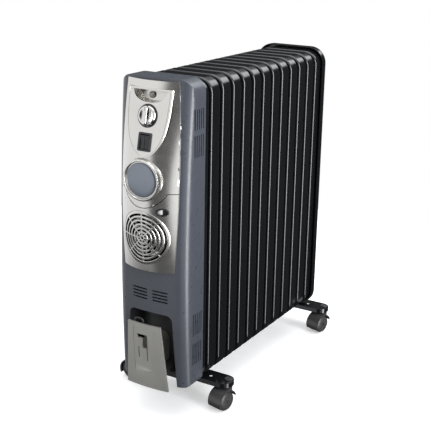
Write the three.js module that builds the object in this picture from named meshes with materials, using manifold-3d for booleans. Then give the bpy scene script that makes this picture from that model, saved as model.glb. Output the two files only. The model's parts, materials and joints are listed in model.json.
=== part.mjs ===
// Oil filled radiator heater with thirteen fins, a front control housing with a fan heater,
// a cord store and four swivelling twin-wheel castors.
// Millimetres, +Z up, front towards -Y. The design frame has x = 0 on the fins' centre plane,
// y = 0 at the bend of the second fin and z = 0 a little below the floor; the model group then
// stands the whole on the origin.
import * as THREE from 'three';
import { mergeVertices } from 'three/addons/utils/BufferGeometryUtils.js';
import Module from 'manifold-3d';

const wasm = await Module();
wasm.setup();

// ---------------------------------------------------------------- driving dimensions
const GAP = 0.35;                 // clearance between touching pieces
const SHEET = 2;                  // steel sheet of fins, cover and bars
const WALL = 2.5;                 // moulded wall of the housing

const FIN_COUNT = 13;
const FIN_PITCH = 37.5;
const FIN_HALF = 71;              // half the width of a fin
const FIN_TOP = 633;
const FIN_BOTTOM = 67;
const FIN_CORNER = 28;
const FIN_DEPTH = 26.5;           // from the flat face back to the rolled hem
const FIN_BEND = 3;               // bend between face and rim
const HEADER_R = 21;              // outside radius of the oil headers
const HEADER_BORE = 14;
const HEADER_LOW = 112;           // height of the lower header's axis
const HEADER_HIGH = 588;

const COVER_HALF = 77;
const COVER_TOP = 640;
const COVER_BOTTOM = 63;
const COVER_CORNER = 34;
const COVER_FRONT = 429;
const COVER_BACK = 447;

const BOX_HALF = 75;              // half the width of the control housing
const BOX_TOP = 638;
const BOX_BOTTOM = 76;
const BOX_BACK = -29;
const BOX_FRONT = -92;            // foremost line of the bowed front
const BOX_CORNER = 26;
const BOW = 1.5e-4;               // the front is an arc in side view
const BOW_HEIGHT = 310;
const CROWN = 0.0014;             // and slightly crowned in plan

const PANEL_TOP = 634;
const PANEL_BOTTOM = 301;
const PANEL_WALL = 3;
const SPLIT = 445;                // height of the joint between upper and lower panel
const BOSS = { z: 467, r: 37, badge: 30.5, collar: 49, face: -117.5 };
const GRILLE = { z: 363, r: 49, rings: 6, pitch: 7, slot: 3.7, hub: 2.4, spokes: 8, spoke: 2.6 };
const INSET = { top: 621, tip: 505, half: 45, slope: 0.21, z: 530, y: -103.5 };
const POCKET = { half: 34, top: 617, low: 597, depth: 20 };
const LAMP = { x: -8, z: 606.5, r: 6 };
const KNOB = { z: 575, r: 17.6, height: 11 };
const SWITCH = { z: 531.5, w: 25.6, h: 32 };
const FAN_SWITCH = { x: 37, z: 413, w: 22, h: 13 };

const STORE = { top: 216, halfTop: 46, halfLow: 53, back: -52 };
const PLATE = { top: 200, low: 71, halfTop: 35, halfLow: 45, yTop: -111.5, yLow: -101.5, wall: 3 };

const FLOOR = 7;                  // height of the floor in the design frame
const BAR = { half: 114, width: 40, top: 62, lip: 9 };
const BAR_FRONT_Y = 17;
const BAR_REAR_Y = 440;
const STEM_X = 102;
const WHEEL = { r: 19.5, w: 12, trail: 17, offset: 8.8, axle: 2.5, z: FLOOR + 19.5 };
const STEM_FRONT_Y = 22;
const STEM_REAR_Y = 446;

const ORIGIN_SHIFT = [11.68, -171.245, -FLOOR];

// ---------------------------------------------------------------- finishes
function finish(color, roughness, metalness) {
  return new THREE.MeshStandardMaterial({ color, roughness, metalness });
}
const glossBlack = () => finish(0x15171a, 0.18, 0.1);
const slate = () => finish(0x5f636d, 0.42, 0.1);
const champagne = () => finish(0xc9c6c0, 0.32, 0.75);
const chrome = () => finish(0xd9dadb, 0.12, 1.0);
const darkPlastic = () => finish(0x25272a, 0.45, 0.0);
const castorPlastic = () => finish(0x3a3b3e, 0.55, 0.0);
const steel = () => finish(0x9fa2a5, 0.35, 1.0);
const badgeBlue = () => finish(0x8b939b, 0.2, 0.3);

// ---------------------------------------------------------------- solids and booleans
function solid(geometry) {
  const bare = geometry.index ? geometry.toNonIndexed() : geometry.clone();
  bare.deleteAttribute('normal');
  bare.deleteAttribute('uv');
  const merged = mergeVertices(bare, 1e-4);
  return new wasm.Manifold(new wasm.Mesh({
    numProp: 3,
    vertProperties: new Float32Array(merged.attributes.position.array),
    triVerts: new Uint32Array(merged.index.array),
  }));
}

function surface(manifold) {
  const mesh = manifold.getMesh();
  const geometry = new THREE.BufferGeometry();
  const position = new THREE.BufferAttribute(new Float32Array(mesh.vertProperties), 3);
  geometry.setAttribute('position', position);
  geometry.setIndex(new THREE.BufferAttribute(new Uint32Array(mesh.triVerts), 1));
  geometry.computeVertexNormals();
  return geometry;
}

function join(...pieces) {
  return pieces.reduce((whole, piece) => whole.add(piece));
}

function cut(base, ...tools) {
  return tools.reduce((rest, tool) => rest.subtract(tool), base);
}

// A box given by its lowest and highest corner.
function block(x0, x1, y0, y1, z0, z1) {
  const geometry = new THREE.BoxGeometry(x1 - x0, y1 - y0, z1 - z0);
  geometry.translate((x0 + x1) / 2, (y0 + y1) / 2, (z0 + z1) / 2);
  return solid(geometry);
}

// A cylinder along Y between two depths.
function rodY(r, y0, y1, x, z, sides = 24) {
  const geometry = new THREE.CylinderGeometry(r, r, y1 - y0, sides);
  geometry.translate(x, (y0 + y1) / 2, z);
  return solid(geometry);
}

function rodZ(r, z0, z1, x, y, sides = 16) {
  const geometry = new THREE.CylinderGeometry(r, r, z1 - z0, sides);
  geometry.rotateX(Math.PI / 2);
  geometry.translate(x, y, (z0 + z1) / 2);
  return solid(geometry);
}

function rodX(r, x0, x1, y, z, sides = 16) {
  const geometry = new THREE.CylinderGeometry(r, r, x1 - x0, sides);
  geometry.rotateZ(Math.PI / 2);
  geometry.translate((x0 + x1) / 2, y, z);
  return solid(geometry);
}

// A front-view outline (x, z) carried from depth y0 back to y1, with an optional rounded edge.
function slabY(shape, y0, y1, edge = 0, curveSegments = 3) {
  const geometry = new THREE.ExtrudeGeometry(shape, {
    depth: y1 - y0 - 2 * edge,
    bevelEnabled: edge > 0,
    bevelThickness: edge,
    bevelSize: edge,
    bevelOffset: -edge,
    bevelSegments: edge > 1.5 ? 2 : 1,
    curveSegments,
  });
  geometry.rotateX(Math.PI / 2);
  geometry.translate(0, y1 - edge, 0);
  return solid(geometry);
}

// A plan outline (x, y) carried from height z0 up to z1 in a number of steps.
function slabZ(shape, z0, z1, steps = 1, curveSegments = 6) {
  const geometry = new THREE.ExtrudeGeometry(shape, {
    depth: z1 - z0,
    bevelEnabled: false,
    steps,
    curveSegments,
  });
  geometry.translate(0, 0, z0);
  return geometry;
}

// A side-view outline (y, z) carried from x0 to x1.
function slabX(shape, x0, x1, curveSegments = 6) {
  const geometry = new THREE.ExtrudeGeometry(shape, {
    depth: x1 - x0,
    bevelEnabled: false,
    curveSegments,
  });
  const turn = new THREE.Matrix4().set(0, 0, 1, x0, 1, 0, 0, 0, 0, 1, 0, 0, 0, 0, 0, 1);
  geometry.applyMatrix4(turn);
  return solid(geometry);
}

// A rectangle with round corners, whose lower corners may have a radius of their own.
function rounded(x0, x1, z0, z1, top, low = top) {
  const shape = new THREE.Shape();
  shape.moveTo(x0 + low, z0);
  shape.lineTo(x1 - low, z0);
  shape.absarc(x1 - low, z0 + low, low, -Math.PI / 2, 0, false);
  shape.lineTo(x1, z1 - top);
  shape.absarc(x1 - top, z1 - top, top, 0, Math.PI / 2, false);
  shape.lineTo(x0 + top, z1);
  shape.absarc(x0 + top, z1 - top, top, Math.PI / 2, Math.PI, false);
  shape.lineTo(x0, z0 + low);
  shape.absarc(x0 + low, z0 + low, low, Math.PI, Math.PI * 1.5, false);
  return shape;
}

// Moves every vertex by a rule that is given its place and returns the new one.
function warp(geometry, move) {
  const position = geometry.attributes.position;
  for (let i = 0; i < position.count; i += 1) {
    const moved = move(position.getX(i), position.getY(i), position.getZ(i));
    position.setXYZ(i, ...moved);
  }
  return geometry;
}

// A profile of (radius, y) points turned about the Y axis.
function lathe(profile, sides) {
  return new THREE.LatheGeometry(profile.map(([r, y]) => new THREE.Vector2(r, y)), sides);
}

// A round wire along a smooth path.
function tube(points, r, sides, steps) {
  const route = points.map((p) => new THREE.Vector3(...p));
  const section = new THREE.Shape();
  section.absarc(0, 0, r, 0, Math.PI * 2, false);
  return new THREE.ExtrudeGeometry(section, {
    steps,
    curveSegments: sides / 2,
    extrudePath: new THREE.CatmullRomCurve3(route, false, 'catmullrom', 0.2),
    bevelEnabled: false,
  });
}

const model = new THREE.Group();
model.position.set(...ORIGIN_SHIFT);

function add(name, shape, material, parent = model) {
  const geometry = shape instanceof THREE.BufferGeometry ? shape : surface(shape);
  const mesh = new THREE.Mesh(geometry, material);
  mesh.name = name;
  parent.add(mesh);
  return mesh;
}

// ---------------------------------------------------------------- fins
const finFace = (k) => (k - 2) * FIN_PITCH - 2.5;

// One pressed pan, open at the back, with its oil channel and its two header bosses. The lower
// header is bored through, and the last fin is notched at the bottom for the U bolt.
function fin(k) {
  const face = finFace(k);
  const hem = face + FIN_DEPTH;
  const last = k === FIN_COUNT;
  const outline = rounded(-FIN_HALF, FIN_HALF, FIN_BOTTOM, FIN_TOP, FIN_CORNER);
  const inner = rounded(
    -FIN_HALF + SHEET,
    FIN_HALF - SHEET,
    FIN_BOTTOM + SHEET,
    FIN_TOP - SHEET,
    FIN_CORNER - SHEET,
  );
  const pan = cut(
    slabY(outline, face, hem + FIN_BEND, FIN_BEND, 2),
    block(-100, 100, hem, hem + 20, 0, 700),
    slabY(inner, face + SHEET, hem + 5, 0, 2),
  );
  const bossEnd = last ? hem : face + FIN_PITCH - GAP;
  const channel = new THREE.CylinderGeometry(1, 1, HEADER_HIGH - HEADER_LOW - 2 * HEADER_R - 8, 8);
  channel.rotateX(Math.PI / 2);
  channel.scale(27, 7, 1);
  channel.translate(0, face + 4, (HEADER_HIGH + HEADER_LOW) / 2);
  let body = join(
    pan,
    solid(channel),
    rodY(HEADER_R, face, bossEnd, 0, HEADER_LOW, 12),
    rodY(HEADER_R, face, bossEnd, 0, HEADER_HIGH, 12),
  );
  body = cut(body, rodY(HEADER_BORE, face - 20, bossEnd + 5, 0, HEADER_LOW, 12));
  if (last) {
    body = cut(body, block(-32, 32, face + 6, hem + 5, FIN_BOTTOM - 2, FIN_BOTTOM + SHEET + 1));
  }
  return body;
}

for (let k = 1; k <= FIN_COUNT; k += 1) {
  add(`fin_${String(k).padStart(2, '0')}`, fin(k), glossBlack());
}

// The cover over the last fin, open at the front, with two groups of slots.
function rearCover() {
  const outline = rounded(-COVER_HALF, COVER_HALF, COVER_BOTTOM, COVER_TOP, COVER_CORNER);
  const hollow = rounded(
    -COVER_HALF + SHEET,
    COVER_HALF - SHEET,
    COVER_BOTTOM + SHEET,
    COVER_TOP - SHEET,
    COVER_CORNER - SHEET,
  );
  const edge = 5;
  const shell = cut(
    slabY(outline, COVER_FRONT - edge, COVER_BACK, edge, 3),
    block(-100, 100, COVER_FRONT - 20, COVER_FRONT, 0, 700),
    slabY(hollow, COVER_FRONT - 5, COVER_BACK - SHEET, 0, 3),
  );
  const slots = [];
  for (const z of [200, 500]) {
    for (let i = -2.5; i <= 2.5; i += 1) {
      slots.push(block(-40, 40, COVER_BACK - 8, COVER_BACK + 5, z + i * 14 - 2.5, z + i * 14 + 2.5));
    }
  }
  return cut(shell, ...slots);
}
add('rear_cover', rearCover(), glossBlack());

// Hairpin element in the lower header, with its threaded flange at the front.
function heatingElement() {
  const spread = 6;
  const far = 395;
  const hairpin = tube([
    [-spread, -42, HEADER_LOW],
    [-spread, far * 0.5, HEADER_LOW],
    [-spread, far - 10, HEADER_LOW],
    [0, far, HEADER_LOW],
    [spread, far - 10, HEADER_LOW],
    [spread, far * 0.5, HEADER_LOW],
    [spread, -42, HEADER_LOW],
  ], 3.5, 8, 28);
  const flange = new THREE.CylinderGeometry(18, 18, 6, 6);
  flange.translate(0, -44, HEADER_LOW);
  return join(solid(hairpin), solid(flange));
}
add('heating_element', heatingElement(), steel());
add('filler_plug', join(
  rodY(13.5, 424, 436.5, 0, HEADER_LOW, 18),
  rodY(18, 436.5, 441, 0, HEADER_LOW, 6),
), steel());

// ---------------------------------------------------------------- control housing
const frontSkin = (x, z) => BOX_FRONT + BOW * (z - BOW_HEIGHT) ** 2 + CROWN * x * x;

// A bowed box: a plan outline carried upwards, whose front half follows the bowed front.
function bowedBox(half, back, front, corner, z0, z1) {
  const plan = new THREE.Shape();
  plan.moveTo(half, back);
  plan.lineTo(-half, back);
  plan.lineTo(-half, front + corner);
  plan.absarc(-half + corner, front + corner, corner, Math.PI, Math.PI * 1.5, false);
  for (let i = -1; i <= 1; i += 1) {
    plan.lineTo((i * (half - corner)) / 2, front);
  }
  plan.lineTo(half - corner, front);
  plan.absarc(half - corner, front + corner, corner, Math.PI * 1.5, Math.PI * 2, false);
  const geometry = slabZ(plan, z0, z1, 6, 3);
  warp(geometry, (x, y, z) => {
    const share = THREE.MathUtils.clamp((back - y) / (back - front), 0, 1);
    return [x, y + share * (frontSkin(Math.min(Math.abs(x), half - corner), z) - BOX_FRONT), z];
  });
  return solid(geometry);
}

// Front outline of the recess where the cord is wound, grown by a wall.
function storeOutline(grow) {
  const shape = new THREE.Shape();
  const r = 12 + grow;
  shape.moveTo(-STORE.halfLow - grow - 1, BOX_BOTTOM - 30);
  shape.lineTo(STORE.halfLow + grow + 1, BOX_BOTTOM - 30);
  shape.lineTo(STORE.halfTop + grow, STORE.top + grow - r);
  shape.absarc(STORE.halfTop + grow - r, STORE.top + grow - r, r, 0, Math.PI / 2, false);
  shape.absarc(-STORE.halfTop - grow + r, STORE.top + grow - r, r, Math.PI / 2, Math.PI, false);
  return shape;
}

// Four rows of slots in the front, on both sides of the middle.
function frontVents() {
  const vents = [];
  for (let i = 0; i < 4; i += 1) {
    const z = 240.5 + i * 6.1;
    for (const [x0, x1] of [[-37.7, -5], [5, 37.7]]) {
      vents.push(block(x0, x1, -110, -70, z - 1.5, z + 1.5));
    }
  }
  return join(...vents);
}

// Four groups of upright slots in each side.
function sideVents() {
  const vents = [];
  for (const [low, high] of [[118, 160], [175, 217], [505, 543], [553, 588]]) {
    for (let i = 0; i < 5; i += 1) {
      const y = -62 + i * 6.4;
      vents.push(block(-80, 80, y - 1.5, y + 1.5, low, high));
    }
  }
  return join(...vents).subtract(block(-70, 70, -140, 0, 0, 700));
}

function housing() {
  const front = rounded(-BOX_HALF, BOX_HALF, BOX_BOTTOM, BOX_TOP, BOX_CORNER, 9);
  const frontInner = rounded(
    -BOX_HALF + WALL,
    BOX_HALF - WALL,
    BOX_BOTTOM + WALL,
    BOX_TOP - WALL,
    BOX_CORNER - WALL,
    9 - WALL,
  );
  const outside = bowedBox(BOX_HALF, BOX_BACK, BOX_FRONT, BOX_CORNER, BOX_BOTTOM, BOX_TOP)
    .intersect(slabY(front, -140, 0, 0, 3));
  const inside = bowedBox(
    BOX_HALF - WALL,
    BOX_BACK + 5,
    BOX_FRONT + WALL,
    BOX_CORNER - WALL,
    BOX_BOTTOM,
    BOX_TOP,
  ).intersect(slabY(frontInner, -140, 0, 0, 2));
  const storeWalls = slabY(storeOutline(WALL), -130, STORE.back + WALL, 0, 2);
  return cut(
    outside,
    inside.subtract(storeWalls),
    slabY(storeOutline(0), -130, STORE.back, 0, 2),
    slabY(rounded(-42, 42, 316, 623, 8), -120, -60, 0, 1),
    frontVents(),
    sideVents(),
    rodY(6.3, STORE.back - 2, STORE.back + 6, 30, 98, 12),
    block(-66, 66, -60, -20, BOX_BOTTOM - 5, BOX_BOTTOM + WALL + 0.5),
  );
}
add('control_housing', housing(), slate());

// ---------------------------------------------------------------- crowned silver panels
// Half width of the panel, and how far its middle stands proud of its edges, by height.
const panelHalf = (z) => 59 - 7 * ((z - 470) / 165) ** 2 * (z > 470 ? 1 : 0.95);
const panelTurn = (z) => Math.PI * THREE.MathUtils.clamp((654 - z) / 420, 0, 1);
const panelBulge = (z) => 8 + 18 * Math.sin(panelTurn(z)) ** 1.2;

// Depth of the panel's skin at a share u of its half width.
function panelSkin(u, z) {
  const half = panelHalf(z);
  return frontSkin(half, z) - 3.4 - panelBulge(z) * (1 - u * u);
}
const panelAt = (x, z) => panelSkin(x / panelHalf(z), z);

// The crowned panel between two heights, of a given wall, standing proud by a lift.
function panelSolid(z0, z1, wall, lift = 0, across = 10, up = 10) {
  const geometry = new THREE.BoxGeometry(2, 1, z1 - z0, across, 1, up);
  warp(geometry, (u, t, w) => {
    const z = w + (z0 + z1) / 2;
    return [u * panelHalf(z), panelSkin(u, z) - lift + (t + 0.5) * wall, z];
  });
  return solid(geometry);
}

// Outline of the sloped inset, grown by a margin.
function shieldOutline(grow) {
  const half = INSET.half + grow;
  const shape = new THREE.Shape();
  shape.moveTo(-half, INSET.top + grow);
  shape.bezierCurveTo(-half, INSET.top - 70, -half * 0.82, INSET.tip + 12, 0, INSET.tip - grow - 4);
  shape.bezierCurveTo(half * 0.82, INSET.tip + 12, half, INSET.top - 70, half, INSET.top + grow);
  return shape;
}

// Outline of the finger pocket in the inset, grown by a margin.
function pocketOutline(grow) {
  const shape = new THREE.Shape();
  const half = POCKET.half + grow;
  const low = POCKET.low - grow;
  shape.moveTo(-half, POCKET.top + grow);
  shape.bezierCurveTo(-half + 2, low + 4, -half * 0.45, low, 0, low);
  shape.bezierCurveTo(half * 0.45, low, half - 2, low + 4, half, POCKET.top + grow);
  return shape;
}

// The solid that holds the upper panel: all above the split, and the collar round the boss.
function splitTool(shrink) {
  return join(
    block(-90, 90, -150, -60, SPLIT + shrink, 700),
    rodY(BOSS.collar - shrink, -150, -60, 0, BOSS.z, 32),
  );
}

function panels() {
  const full = panelSolid(PANEL_BOTTOM, PANEL_TOP, PANEL_WALL);
  const behind = panelSolid(PANEL_BOTTOM, PANEL_TOP, 40, -0.5);
  const shieldWall = cut(
    slabY(shieldOutline(2.2), -130, -81.2, 0, 6),
    slabY(shieldOutline(0), -135, -70, 0, 6),
  ).intersect(behind).intersect(block(-41.5, 41.5, -140, -60, 480, 617.5));
  const upper = cut(
    join(full, shieldWall).intersect(splitTool(GAP / 2)),
    slabY(shieldOutline(0), -140, -70, 0, 6),
    rodY(BOSS.r + GAP, -140, -60, 0, BOSS.z, 36),
  );
  const oval = new THREE.CylinderGeometry(1, 1, 60, 20);
  oval.scale(FAN_SWITCH.w / 2 + 0.6, 1, FAN_SWITCH.h / 2 + 0.6);
  oval.rotateZ(fanSwitchTurn);
  oval.translate(FAN_SWITCH.x, panelAt(FAN_SWITCH.x, FAN_SWITCH.z), FAN_SWITCH.z);
  const lower = cut(
    full,
    splitTool(-GAP / 2),
    rodY(GRILLE.r + GAP, -140, -60, 0, GRILLE.z, 36),
    solid(oval),
  );
  return [upper, lower];
}
const fanSwitchTurn = Math.PI / 6;
const [upperPanel, lowerPanel] = panels();
add('upper_panel', upperPanel, champagne());
add('lower_panel', lowerPanel, champagne());

// ---------------------------------------------------------------- fan grille, fan and its heater
function grille() {
  const rim = panelSolid(PANEL_BOTTOM, SPLIT, 9, 2.6, 6, 2)
    .subtract(rodY(GRILLE.r - 2.6, -140, -60, 0, GRILLE.z, 24));
  const body = join(panelSolid(PANEL_BOTTOM, SPLIT, 2.4, 0.8, 6, 2), rim)
    .intersect(rodY(GRILLE.r, -140, -60, 0, GRILLE.z, 32));
  const shapes = [];
  const centre = new THREE.Shape();
  centre.absarc(0, 0, GRILLE.hub, 0, Math.PI * 2, false);
  shapes.push(centre);
  for (let ring = 1; ring <= GRILLE.rings; ring += 1) {
    const r = ring * GRILLE.pitch;
    const inner = r - GRILLE.slot / 2;
    const outer = r + GRILLE.slot / 2;
    for (let i = 0; i < GRILLE.spokes; i += 1) {
      const mid = ((i + 0.5) * Math.PI * 2) / GRILLE.spokes;
      const reach = Math.PI / GRILLE.spokes - GRILLE.spoke / 2 / r;
      const bends = ring > 2 ? 2 : 1;
      const slot = new THREE.Shape();
      for (const [radius, way] of [[outer, 1], [inner, -1]]) {
        for (let step = 0; step <= bends; step += 1) {
          const angle = mid + way * reach * ((2 * step) / bends - 1);
          const point = [radius * Math.cos(angle), radius * Math.sin(angle)];
          if (way === 1 && step === 0) {
            slot.moveTo(...point);
          } else {
            slot.lineTo(...point);
          }
        }
      }
      shapes.push(slot);
    }
  }
  const cutters = new THREE.ExtrudeGeometry(shapes, {
    depth: 80,
    bevelEnabled: false,
    curveSegments: 3,
  });
  cutters.rotateX(Math.PI / 2);
  cutters.translate(0, -60, GRILLE.z);
  return body.subtract(solid(cutters));
}
add('fan_grille', grille(), champagne());

const FAN = { r: 31, front: -90, back: -76 };

function impeller() {
  const hub = rodY(9, FAN.front, FAN.back, 0, 0, 16);
  const blades = [];
  for (let i = 0; i < 7; i += 1) {
    const blade = new THREE.BoxGeometry(15, 1.6, FAN.r - 7);
    blade.rotateZ(0.55);
    blade.translate(0, (FAN.front + FAN.back) / 2, 7 + (FAN.r - 7) / 2);
    blade.rotateY((i * Math.PI * 2) / 7);
    blades.push(solid(blade));
  }
  const bore = rodY(2.4, FAN.front + 3, FAN.back + 1, 0, 0, 12);
  return join(hub, ...blades).subtract(bore);
}
const fanGroup = new THREE.Group();
fanGroup.position.set(0, 0, GRILLE.z);
model.add(fanGroup);
add('fan_impeller', impeller(), darkPlastic(), fanGroup);

function fanMotor() {
  const shaft = rodY(2, FAN.front + 4, -66, 0, 0, 12);
  const can = rodY(17, -67, -44, 0, 0, 24);
  const arms = [0, 1, 2].map((i) => {
    const arm = new THREE.BoxGeometry(7, 3, 40);
    arm.translate(0, -58, 34);
    arm.rotateY((i * Math.PI * 2) / 3);
    return solid(arm);
  });
  const ring = rodY(40, -97, -56, 0, 0, 28).subtract(rodY(37, -99, -50, 0, 0, 28));
  const trimmed = join(...arms).intersect(rodY(39.5, -70, -40, 0, 0, 28));
  return join(shaft, can, trimmed, ring);
}
add('fan_motor', fanMotor(), darkPlastic(), fanGroup);

function fanHeater() {
  const ring = rodY(36, -101, -94, 0, 0, 28).subtract(rodY(33, -103, -90, 0, 0, 28));
  const bars = [-22, -11, 0, 11, 22].map((x) => block(x - 1.5, x + 1.5, -100, -95, -34, 34));
  const ribs = [-14, 14].map((z) => block(-34, 34, -99, -96, z - 1, z + 1));
  return join(ring, join(...bars, ...ribs).intersect(rodY(34.5, -104, -90, 0, 0, 28)));
}
add('fan_heater', fanHeater(), steel(), fanGroup);

// ---------------------------------------------------------------- round boss and badge
function bossDrum() {
  const drum = lathe([
    [0, 0], [BOSS.badge + 2.2, 0], [BOSS.badge + 2.2, -3], [BOSS.badge + 3.4, -3.8],
    [BOSS.r - 1.4, -3.2], [BOSS.r, -1.4], [BOSS.r, 20], [BOSS.r - 3, 20], [BOSS.r - 3, 3], [0, 3],
  ], 28);
  drum.translate(0, BOSS.face + 3.8, 0);
  return drum;
}
const bossGroup = new THREE.Group();
bossGroup.position.set(0, 0, BOSS.z);
model.add(bossGroup);
add('badge_drum', bossDrum(), champagne(), bossGroup);
const badge = lathe([
  [0, -3.2], [14, -2.9], [24, -2.2], [BOSS.badge, -1], [BOSS.badge, -GAP], [0, -GAP],
], 28);
badge.translate(0, BOSS.face + 3.8, 0);
add('badge_disc', badge, badgeBlue(), bossGroup);

// ---------------------------------------------------------------- sloped control inset
// Everything on it is built upright about the origin and placed on the sloping plane.
const slopeAngle = Math.atan(INSET.slope);

function onInset(z) {
  const group = new THREE.Group();
  group.position.set(0, INSET.y + INSET.slope * (z - INSET.z), z);
  group.rotation.x = -slopeAngle;
  model.add(group);
  return group;
}

// A shape built upright about the origin, seated on the sloping plane at a height.
function seated(geometry, z) {
  geometry.rotateX(-slopeAngle);
  geometry.translate(0, INSET.y + INSET.slope * (z - INSET.z), z);
  return solid(geometry);
}

// All that lies between two distances from the sloping plane.
function layer(y0, y1) {
  const geometry = new THREE.BoxGeometry(120, y1 - y0, 200);
  geometry.translate(0, (y0 + y1) / 2, 0);
  return seated(geometry, INSET.z);
}

function inset() {
  const plate = slabY(shieldOutline(-GAP), INSET.y - 40, INSET.y + 60, 0, 6).intersect(layer(0, 4));
  const cup = slabY(pocketOutline(2), -130, -50, 0, 5).intersect(layer(0, POCKET.depth + 2.2));
  const pocket = slabY(pocketOutline(0), -135, -45, 0, 5).intersect(layer(-60, POCKET.depth));
  const groove = new THREE.CylinderGeometry(KNOB.r + 2.6, KNOB.r + 2.6, 4.4, 24);
  return cut(
    join(plate, cup),
    pocket,
    seated(groove, KNOB.z),
    seated(new THREE.CylinderGeometry(4, 4, 30, 16), KNOB.z),
    seated(new THREE.BoxGeometry(SWITCH.w - 3, 30, SWITCH.h - 3), SWITCH.z),
    rodY(3.6, -100, -60, LAMP.x, LAMP.z, 12),
    rodY(BOSS.r + GAP, -140, -60, 0, BOSS.z, 36),
  );
}
add('control_inset', inset(), champagne());

// Lens in the pocket's floor, with a stub behind it.
const lamp = lathe([
  [0, -5], [LAMP.r * 0.7, -4.5], [LAMP.r, -3.2], [LAMP.r, -1.6], [3.2, -1.6], [3.2, 9], [0, 9],
], 16);
const lampY = INSET.y + INSET.slope * (LAMP.z - INSET.z) + POCKET.depth / Math.cos(slopeAngle);
add('pilot_lamp', lamp.translate(LAMP.x, lampY, LAMP.z), finish(0xb9b4a8, 0.25, 0.0));

const knobSeat = onInset(KNOB.z);
const ring = lathe([
  [KNOB.r + 0.6, 1.6], [KNOB.r + 0.6, -1.2], [KNOB.r + 2.2, -1.2],
  [KNOB.r + 2.2, 1.6], [KNOB.r + 0.6, 1.6],
], 24);
add('knob_ring', ring, darkPlastic(), knobSeat);

function knob() {
  const body = solid(lathe([
    [0, -4], [10, -4.6], [KNOB.r - 3, -5], [KNOB.r - 1, -4.2],
    [KNOB.r, -2.6], [KNOB.r, 1.4], [0, 1.4],
  ], 24));
  const grip = slabY(rounded(-4.2, 4.2, -KNOB.r + 1.5, KNOB.r - 1.5, 4), -KNOB.height, -3, 1.2, 2);
  return join(body, grip, rodY(3, 1, 16, 0, 0, 12));
}
add('thermostat_knob', knob(), chrome(), knobSeat);

// The thermostat's body behind the knob, bored for the shaft.
function thermostat() {
  const body = block(-16, 16, 8, 26, -14, 14);
  return join(body, rodY(6, 5.4, 9, 0, 0, 16)).subtract(rodY(3.4, 4, 20, 0, 0, 16));
}
add('thermostat', thermostat(), steel(), knobSeat);

const switchSeat = onInset(SWITCH.z);
function switchFrame() {
  const w = SWITCH.w / 2;
  const h = SWITCH.h / 2;
  const bezel = slabY(rounded(-w, w, -h, h, 2.5), -2.4, -GAP, 0.8, 2);
  const tub = block(-w + 2, w - 2, -1, 16, -h + 2, h - 2);
  const opening = block(-w + 3.2, w - 3.2, -10, 13, -h + 3.2, h - 3.2);
  return join(bezel, tub).subtract(opening);
}
add('switch_frame', switchFrame(), darkPlastic(), switchSeat);

const ROCKER = { w: 8.8, half: 12.1, pivot: 4, tilt: THREE.MathUtils.degToRad(7) };
function rocker() {
  const side = new THREE.Shape();
  side.moveTo(-5.4, -ROCKER.half);
  side.lineTo(-3.6, 0);
  side.lineTo(-5.4, ROCKER.half);
  side.lineTo(0, ROCKER.half - 0.6);
  side.lineTo(5.5, 4);
  side.lineTo(5.5, -4);
  side.lineTo(0, -ROCKER.half + 0.6);
  return slabX(side, -ROCKER.w / 2, ROCKER.w / 2, 1);
}
for (const [name, x] of [['rocker_left', -4.75], ['rocker_right', 4.75]]) {
  const key = add(name, rocker(), darkPlastic(), switchSeat);
  key.position.set(x, ROCKER.pivot, 0);
  key.rotation.x = ROCKER.tilt;
}

// ---------------------------------------------------------------- oval fan switch
const fanSeat = new THREE.Group();
fanSeat.position.set(FAN_SWITCH.x, panelAt(FAN_SWITCH.x, FAN_SWITCH.z), FAN_SWITCH.z);
fanSeat.rotation.z = fanSwitchTurn;
model.add(fanSeat);

function ovalY(w, h, y0, y1, sides = 24) {
  const geometry = new THREE.CylinderGeometry(1, 1, y1 - y0, sides);
  geometry.scale(w / 2, 1, h / 2);
  geometry.translate(0, (y0 + y1) / 2, 0);
  return solid(geometry);
}
add('fan_switch_bezel', cut(
  join(ovalY(FAN_SWITCH.w, FAN_SWITCH.h, -1.6, 7), ovalY(FAN_SWITCH.w - 1, FAN_SWITCH.h - 1, 6, 9)),
  ovalY(FAN_SWITCH.w - 4, FAN_SWITCH.h - 3.4, -5, 7.5),
), darkPlastic(), fanSeat);

function fanRocker() {
  const side = new THREE.Shape();
  side.moveTo(-8.4, -1.8);
  side.quadraticCurveTo(-4, -0.9, 0, -0.2);
  side.quadraticCurveTo(4, -0.9, 8.4, -1.8);
  side.lineTo(8, 1);
  side.lineTo(3, 4);
  side.lineTo(-3, 4);
  side.lineTo(-8, 1);
  const geometry = slabZ(side, -4.2, 4.2, 1, 4);
  return solid(geometry).intersect(ovalY(FAN_SWITCH.w - 5, FAN_SWITCH.h - 4.2, -8, 8));
}
const fanKey = add('fan_switch_rocker', fanRocker(), chrome(), fanSeat);
fanKey.position.set(0, 2, 0);
fanKey.rotation.z = THREE.MathUtils.degToRad(6);

// ---------------------------------------------------------------- cord store
function plateSlab() {
  const geometry = new THREE.BoxGeometry(2, 1, 2, 10, 1, 1);
  warp(geometry, (u, t, w) => {
    const share = (w + 1) / 2;
    const half = THREE.MathUtils.lerp(PLATE.halfLow, PLATE.halfTop, share);
    const y = THREE.MathUtils.lerp(PLATE.yLow, PLATE.yTop, share);
    const x = u * half;
    const z = THREE.MathUtils.lerp(PLATE.low, PLATE.top, share);
    return [x, y + 0.0016 * x * x + (t + 0.5) * PLATE.wall, z];
  });
  return solid(geometry);
}

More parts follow.
